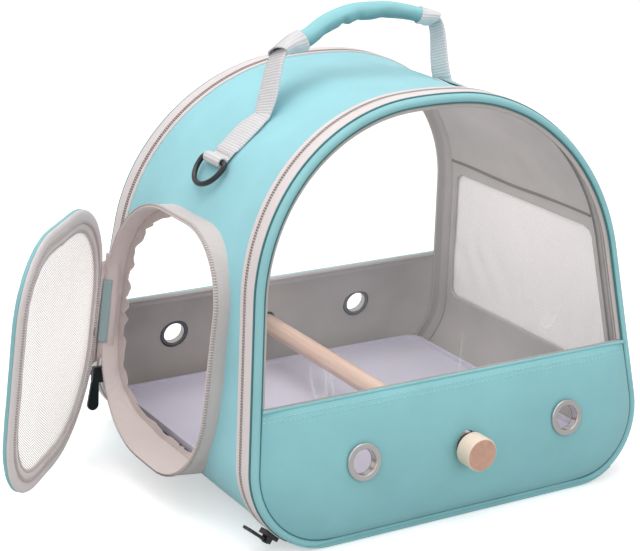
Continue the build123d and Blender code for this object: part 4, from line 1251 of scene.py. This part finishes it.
def hinge_cloth(name, low, high, lift, material):
    """Cloth from the collar's rim over the gap to the door, between two heights."""
    rise = 26
    loops = []
    for k in range(rise + 1):
        up = low + (high - low) * k / rise
        bend = 0.5 * noise.noise(Vector((up / 14, 2.0, 1.0)))
        rim_end = Vector(wall_point(-88.4 + lift, up, 14.0 + lift))
        door_end = door_point(1.4, up, -0.4 - lift)
        row = [rim_end, rim_end.lerp(door_end, 0.5) + Vector((0.3 * bend, 0, 0)), door_end,
               door_point(4.0, up, 0.2 + bend * 0.5 - lift)]
        if lift:
            row = [wall_point(-85.8 + lift, up, 8.6 + bend), wall_point(-86.0 + lift, up, 11.0),
                   wall_point(-87.0 + lift, up, 13.8 + lift)] + row
        else:
            row = [wall_point(-85.7, up, 3.0), wall_point(-85.8, up, 7.0 + bend), wall_point(-86.0, up, 10.6),
                   wall_point(-86.6, up, 13.0)] + row + [door_point(8.0, up, 0.6)]
        loops.append(row)
    tab = finish_piece(loft(loops, closed_along=False), name, None, material)
    thicken(tab, 0.5, 0.0)
    tab.modifiers["thickness"].use_even_offset = False
    bake(tab)
    # Straight out of the wall, so that both of its upright edges stay sewn over their whole height.
    start, end = wall_point(-88.0, 110, 13.0), wall_point(-88.0, 110, 16.0)
    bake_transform(tab, "carrier", "door", start=tuple(c * MM for c in start), end=tuple(c * MM for c in end))
    return tab


tab = hinge_cloth("door_hinge_cloth", HINGE_LOW, HINGE_HIGH, 0.0, BLUSH_COLLAR)
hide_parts("collar_hinge_strip", "door_hinge_tab")
hinge_cloth("door_hinge_strip", HINGE_LOW + 12, HINGE_HIGH - 20, 0.9, HINGE_CLOTH)

# ---------------------------------------------------------------- right wall's net
rows, columns = 30, 60
loops = []
for j in range(rows + 1):
    up = MESH_LOW - 2 + (MESH_HIGH - MESH_LOW + 4) * j / rows
    made = []
    for k in range(columns + 1):
        x = (mesh_half(up) + 2) * (2 * k / columns - 1)
        sway = sin(x / 9.0 + 2.5 * noise.noise(Vector((x / 30, up / 50, 1.0))))
        fold = 1.5 * sway * (0.3 + 0.7 * (1 - abs(up - 120) / 60))
        made.append(right_wall_point(x, up, -wrap_depth(up) - 1.6 - abs(fold)))
    loops.append(made)
piece = finish_piece(loft(loops, closed_along=False), "right_net", "carrier", INNER_NET)
thicken(piece, BINDING, 0.0)
bake(piece)
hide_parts("right_mesh")
section = [(2.5, -3.6), (1.6, -4.4), (0.2, -4.7), (-1.2, -4.5), (-1.8, -3.7)]
loops = [[right_wall_point(x, up, out - wrap_depth(up)) for x, up in mesh_outline(grow)]
         for grow, out in section]
piece = finish_piece(loft(loops, closed_across=True), "right_net_binding", "carrier", GREY_LINING)
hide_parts("right_mesh_border")
# Folded edge of the lining above the net, drawn as a dark tube: painted shade under the fold.
fold_up = MESH_HIGH + 9
fold_line = [right_wall_point(-88 + 176 * k / 60, fold_up + 0.6 * sin(k / 7), -wrap_depth(fold_up) - 5.2)
             for k in range(61)]
fold = tube(fold_line, 1.1, lambda p: (-1, 0, 0.1), squash=0.8)
finish_piece(fold, "lining_fold_shade_line", "carrier", FOLD_SHADE)


# ---------------------------------------------------------------- straps and handle
def shoulder_point(side, angle, proud=0.0):
    """Point on the shoulder under the handle, at an angle round from level."""
    reach = SHOULDER_R + proud
    return Vector((side * (SHOULDER_X + reach * cos(radians(angle))), STRAP_Y,
                   (SHOULDER_Y + reach * sin(radians(angle))) * PANEL_COS))


def webbing(stations, crown=0.0):
    """Flat woven strap through stations of (centre, across, out, width)."""
    loops = []
    gone = [0.0]
    for one, two in zip(stations, stations[1:]):
        gone.append(gone[-1] + (two[0] - one[0]).length)
    for centre, across, out, width in stations:
        half, thick = width / 2, STRAP / 2
        flank = crown * 0.7
        profile = [
            (-half, -0.3), (-half, 0.3), (-half + 0.7, thick), (-half * 0.5, thick + flank),
            (0, thick + crown), (half * 0.5, thick + flank), (half - 0.7, thick), (half, 0.3),
            (half, -0.3), (half - 0.7, -thick), (half * 0.5, flank - thick), (0, crown - thick),
            (-half * 0.5, flank - thick), (-half + 0.7, -thick)]
        loops.append([centre + across * a + out * b for a, b in profile])
    bm = loft(loops)
    # The ribs of the webbing follow its length.
    run = bm.verts.layers.float["run"]
    for k, vert in enumerate(bm.verts):
        vert[run] = gone[k // len(loops[0])]
    bmesh.ops.holes_fill(bm, edges=rims(bm), sides=0)
    bmesh.ops.recalc_face_normals(bm, faces=bm.faces)
    return bm


across_y = Vector((0, 1, 0))
left_fold = shoulder_point(-1, FOLD_ANGLES[-1], STRAP)
right_fold = shoulder_point(1, FOLD_ANGLES[1], STRAP)
fold_way = (right_fold - left_fold).normalized()
fold_middle = (left_fold + right_fold) / 2
handle_up = Vector((-fold_way.z, 0, fold_way.x)) * cos(HANDLE_LEAN) + across_y * sin(HANDLE_LEAN)
handle_back = handle_up.cross(fold_way)
GRIP_RISE = GRIP_MID_UP - GRIP_END_UP
GRIP_ARC = (GRIP_HALF**2 + GRIP_RISE**2) / (2 * GRIP_RISE)


def grip_at(x):
    """Centre of the grip at x from its middle, with the ways along it and out of it."""
    angle = asin(max(-1.0, min(1.0, x / GRIP_ARC)))
    out = fold_way * sin(angle) + handle_up * cos(angle)
    ahead = fold_way * cos(angle) - handle_up * sin(angle)
    sag = 5.0 * bell(x, -43, 17) - 1.2 * bell(x, -4, 12) + 2.0 * bell(x, -8, 28)
    centre = fold_middle + fold_way * GRIP_SHIFT + handle_up * (GRIP_MID_UP - GRIP_ARC - sag) + out * GRIP_ARC
    return centre, ahead, out


def tube_round(low, high, steps, shape):
    """Cloth tube along the grip; shape(share, x, angle) gives its half width and its half height."""
    loops = []
    for j in range(steps + 1):
        share = j / steps
        x = low + (high - low) * share
        centre, ahead, out = grip_at(x)
        ring = []
        for k in range(32):
            angle = 2 * pi * k / 32
            wide, tall = shape(share, x, angle)
            ring.append(centre + out * tall * cos(angle) + handle_back * wide * sin(angle))
        loops.append(ring)
    return loft(loops)


def grip_shape(share, x, angle):
    """Stuffed tube, thinner at its right end, with creases on its underside where it bends."""
    radius = GRIP_R * (1.03 - 0.24 * max(0.0, x / 60) ** 1.4)
    radius += 0.45 * noise.noise(Vector((x / 13, cos(angle) * 1.4, sin(angle) * 1.4 + 4)))
    under = max(0.0, -cos(angle)) ** 1.5
    for spot, deep, span in ((-12, 1.5, 3.0), (-6.5, -0.8, 3.0), (2, 0.9, 2.4), (22, 0.6, 5.0),
                             (-30, 0.6, 4.0)):
        radius -= deep * under * bell(x, spot, span)
    return radius * 1.03, radius * 0.97


grip = tube_round(-GRIP_HALF + 9.5, GRIP_HALF - 7.0, 110, grip_shape)
bmesh.ops.holes_fill(grip, edges=rims(grip), sides=0)
bmesh.ops.recalc_face_normals(grip, faces=grip.faces)
piece = finish_piece(grip, "handle_grip_cloth", "handle", TEAL_GRIP)
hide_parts("handle_grip")


def left_sleeve_shape(share, x, angle):
    """Flat wide mouth for the webbing, closing to a round over the grip."""
    ease = share * share * (3 - 2 * share)
    wide = MOUTH_HALF + (SLEEVE_R - MOUTH_HALF) * ease
    tall = MOUTH_TALL + (SLEEVE_R - MOUTH_TALL) * ease
    ruck = 0.35 * noise.noise(Vector((x / 5, cos(angle) * 2, sin(angle) * 2)))
    return wide + ruck, tall + ruck


def right_sleeve_shape(share, x, angle):
    """Close round at the grip, opening to a flat mouth for the webbing."""
    ease = share * share * (3 - 2 * share)
    tight = SLEEVE_R - 1.8
    wide = tight + (MOUTH_HALF - 0.6 - tight) * ease
    tall = tight + (MOUTH_TALL - 0.2 - tight) * ease
    ruck = 0.35 * noise.noise(Vector((x / 5, cos(angle) * 2, sin(angle) * 2 + 3)))
    return wide + ruck, tall + ruck


for name, low, high, shape in (("left", -GRIP_HALF - 4.0, -GRIP_HALF + 17.0, left_sleeve_shape),
                               ("right", GRIP_HALF - 11.0, GRIP_HALF - 1.0, right_sleeve_shape)):
    sleeve = finish_piece(tube_round(low, high, 24, shape), f"handle_sleeve_{name}", "handle", PALE_WEBBING)
    thicken(sleeve, 0.9, 0.0)
    bake(sleeve)
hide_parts("handle_sleeves")


def loop_stations(bar, down, out):
    """The strap's end, which goes round the ring's bar and back under itself."""
    stations = []
    for turned in range(-150, 121, 18):
        way = out * cos(radians(turned)) + down * sin(radians(turned))
        stations.append((bar + way * 3.0, across_y, way, LOOP_WIDTH))
    return stations[::-1]


def shoulder_stations(side):
    """The strap on the shoulder, from its loop up to where it leaves the roof."""
    stations = []
    low, high = STRAP_END_ANGLE + 3.2, FOLD_ANGLES[side] - 0.8
    for k in range(16):
        angle = low + (high - low) * k / 15
        centre = shoulder_point(side, angle, 1.1 + 1.2 * exp(-k))
        centre.z -= 2.5 * clamp((centre.z - HOLLOW_FROM) / (HEIGHT - HOLLOW_FROM))
        normal = Vector((side * cos(radians(angle)), 0, sin(radians(angle)) * PANEL_COS)).normalized()
        pinch = 0.22 * bell(k, 15, 3.5) if side < 0 else 0.0
        stations.append((centre, across_y, normal, (STRAP_WIDTH - 2.0 * exp(-k / 2)) * (1 - pinch)))
    return stations


def climb_stations(side, fold, up_roof, mouth):
    """The free run from the roof into the sleeve, which turns from the roof's way to the handle's."""
    inside = grip_at(side * (GRIP_HALF - 6.0))[0]
    # It leaves the roof steeply and bends into the sleeve.
    leaving = fold + (mouth - fold) * 0.30 + up_roof * 3.0
    entering = mouth - (inside - mouth).normalized() * (mouth - fold).length * 0.20
    steps = 26
    climb = []
    for k in range(1, steps + 1):
        t = k / steps
        centre = fold * (1 - t) ** 3 + leaving * 3 * t * (1 - t) ** 2
        centre += entering * 3 * t * t * (1 - t) + mouth * t**3
        pinch = 1 - (0.26 * t**0.6 if side > 0 else 0.22 * bell(t, 0, 0.16))
        climb.append((centre, t, (STRAP_WIDTH - 0.8 * t) * pinch))
    climb.append((inside, 1.0, STRAP_WIDTH - 6.0))
    stations = []
    here = fold
    for k, (centre, t, wide) in enumerate(climb):
        after = climb[min(len(climb) - 1, k + 1)][0]
        way = (after - here).normalized()
        across = (across_y * (1 - t) + handle_back * t).normalized()
        across = (across - way * across.dot(way)).normalized()
        stations.append((centre, across, (way.cross(across) * -side).normalized(), wide))
        here = centre
    return stations


for name, side in (("left", -1), ("right", 1)):
    end = shoulder_point(side, STRAP_END_ANGLE)
    down = (end - shoulder_point(side, STRAP_END_ANGLE + 2.0)).normalized()
    out = Vector((-down.z * side, 0, down.x * side))
    bar = end + down * 3.7 + out * 4.3
    on_shoulder = shoulder_stations(side)
    fold = on_shoulder[-1][0]
    up_roof = (fold - on_shoulder[-2][0]).normalized()
    mouth = grip_at(side * (GRIP_HALF - 1.0))[0]
    stations = loop_stations(bar, down, out) + on_shoulder + climb_stations(side, fold, up_roof, mouth)
    strap = finish_piece(webbing(stations, 0.3), f"{name}_strap_webbing", None, PALE_WEBBING)
    bake(strap)
    start, end = fold, fold.lerp(mouth, 0.5)
    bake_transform(strap, "carrier", "handle", start=tuple(c * MM for c in start), end=tuple(c * MM for c in end))
    # The left run also stands for the solid of the handle's own webbing.
    if side < 0:
        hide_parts("left_strap", "handle_webbing")
    else:
        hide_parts("right_strap")
    seam = [tuple(bar - down * 7.5 + across_y * (-9.5 + 19 * k / 12) + out * -1.4) for k in range(13)]
    stitch_row(f"{name}_strap_stitches", seam, lambda p, out=out: out, "carrier", STITCH_GREY, 2.6, 1.9, 0.35)

# ---------------------------------------------------------------- hard pieces keep their solids
finishes = {
    "tray": TRAY_PLASTIC, "tray_runners": TRAY_PLASTIC, "base_board": BLACK_BOARD, "floor_liner": PALE_FOAM,
    "perch_dowel": PERCH_WOOD, "perch_studs": ZINC, "front_perch_cap": CAP_WOOD, "rear_perch_cap": CAP_WOOD,
    "front_perch_washer": DARK_PLASTIC, "rear_perch_washer": DARK_PLASTIC,
    "front_eyelets": NICKEL, "rear_eyelets": NICKEL, "left_d_ring": BLACK_METAL, "right_d_ring": BLACK_METAL,
    "front_slider": BLACK_METAL, "rear_slider": BLACK_METAL, "door_slider": BLACK_METAL,
    "front_pull": BLACK_METAL, "rear_pull": BLACK_METAL, "door_pull": BLACK_METAL,
}
for name, material in finishes.items():
    node[name].data.materials.clear()
    node[name].data.materials.append(material)

# ---------------------------------------------------------------- floor, light and backdrop
floor_mesh = bmesh.new()
bmesh.ops.create_grid(floor_mesh, x_segments=1, y_segments=1, size=6.0)
mesh = bpy.data.meshes.new("floor")
floor_mesh.to_mesh(mesh)
floor_mesh.free()
floor = bpy.data.objects.new("floor", mesh)
bpy.context.scene.collection.objects.link(floor)
floor.location.z = -0.0002
material, tree, shader = new_material("floor_paper_white")
shader.inputs["Roughness"].default_value = 0.9
rays = add_node(tree, "LightPath")
tone = add_node(tree, "ValToRGB", links={"Fac": rays.outputs["Is Camera Ray"]})
tone.color_ramp.elements[0].color = linear("#C6C6C6")
tone.color_ramp.elements[1].color = linear("#F4F4F4")
tree.links.new(tone.outputs["Color"], shader.inputs["Base Color"])
shown = add_node(tree, "Math", {"operation": "MULTIPLY"}, {1: 0.45}, {0: rays.outputs["Is Camera Ray"]})
shader.inputs["Emission Color"].default_value = (1, 1, 1, 1)
tree.links.new(shown.outputs[0], shader.inputs["Emission Strength"])
floor.data.materials.append(material)

world = bpy.data.worlds.new("soft_white")
bpy.context.scene.world = world
world.use_nodes = True
tree = world.node_tree
tree.nodes.clear()
rays = add_node(tree, "LightPath")
seen = add_node(tree, "Math", {"operation": "MAXIMUM"},
                links={0: rays.outputs["Is Camera Ray"], 1: rays.outputs["Is Transmission Ray"]})
strength = add_node(tree, "MapRange", inputs={"To Min": 0.62, "To Max": 1.0},
                    links={"Value": seen.outputs[0]})
glow = add_node(tree, "Background", inputs={"Color": (1, 1, 1, 1)},
                links={"Strength": strength.outputs["Result"]})
add_node(tree, "OutputWorld", links={"Surface": glow.outputs[0]})


def softbox(name, place, aim, size, power):
    """Large square lamp aimed at a point."""
    lamp = bpy.data.lights.new(name, "AREA")
    lamp.shape = "SQUARE"
    lamp.size = size
    lamp.energy = power
    holder = bpy.data.objects.new(name, lamp)
    holder.visible_camera = False
    holder.visible_glossy = size > 1
    holder.visible_transmission = False
    bpy.context.scene.collection.objects.link(holder)
    holder.location = place
    holder.rotation_euler = (Vector(aim) - Vector(place)).to_track_quat("-Z", "Y").to_euler()


softbox("top_softbox", (-0.2, 0.1, 1.7), (0, 0, 0.15), 1.6, 14.5)
softbox("left_softbox", (-1.5, -0.9, 1.0), (0, 0, 0.15), 1.2, 3.5)
softbox("front_softbox", (0.5, -1.9, 0.75), (0, 0.1, 0.08), 1.5, 5.0)
# Two small fills keep the inside as light as the outside.
softbox("ceiling_fill", (0, 0, 0.262), (0, 0, 0), 0.16, 0.20)
softbox("side_fill", (-0.08, 0.0, 0.19), (0.16, 0.01, 0.1), 0.14, 0.12)

bpy.context.scene.view_settings.view_transform = "Standard"
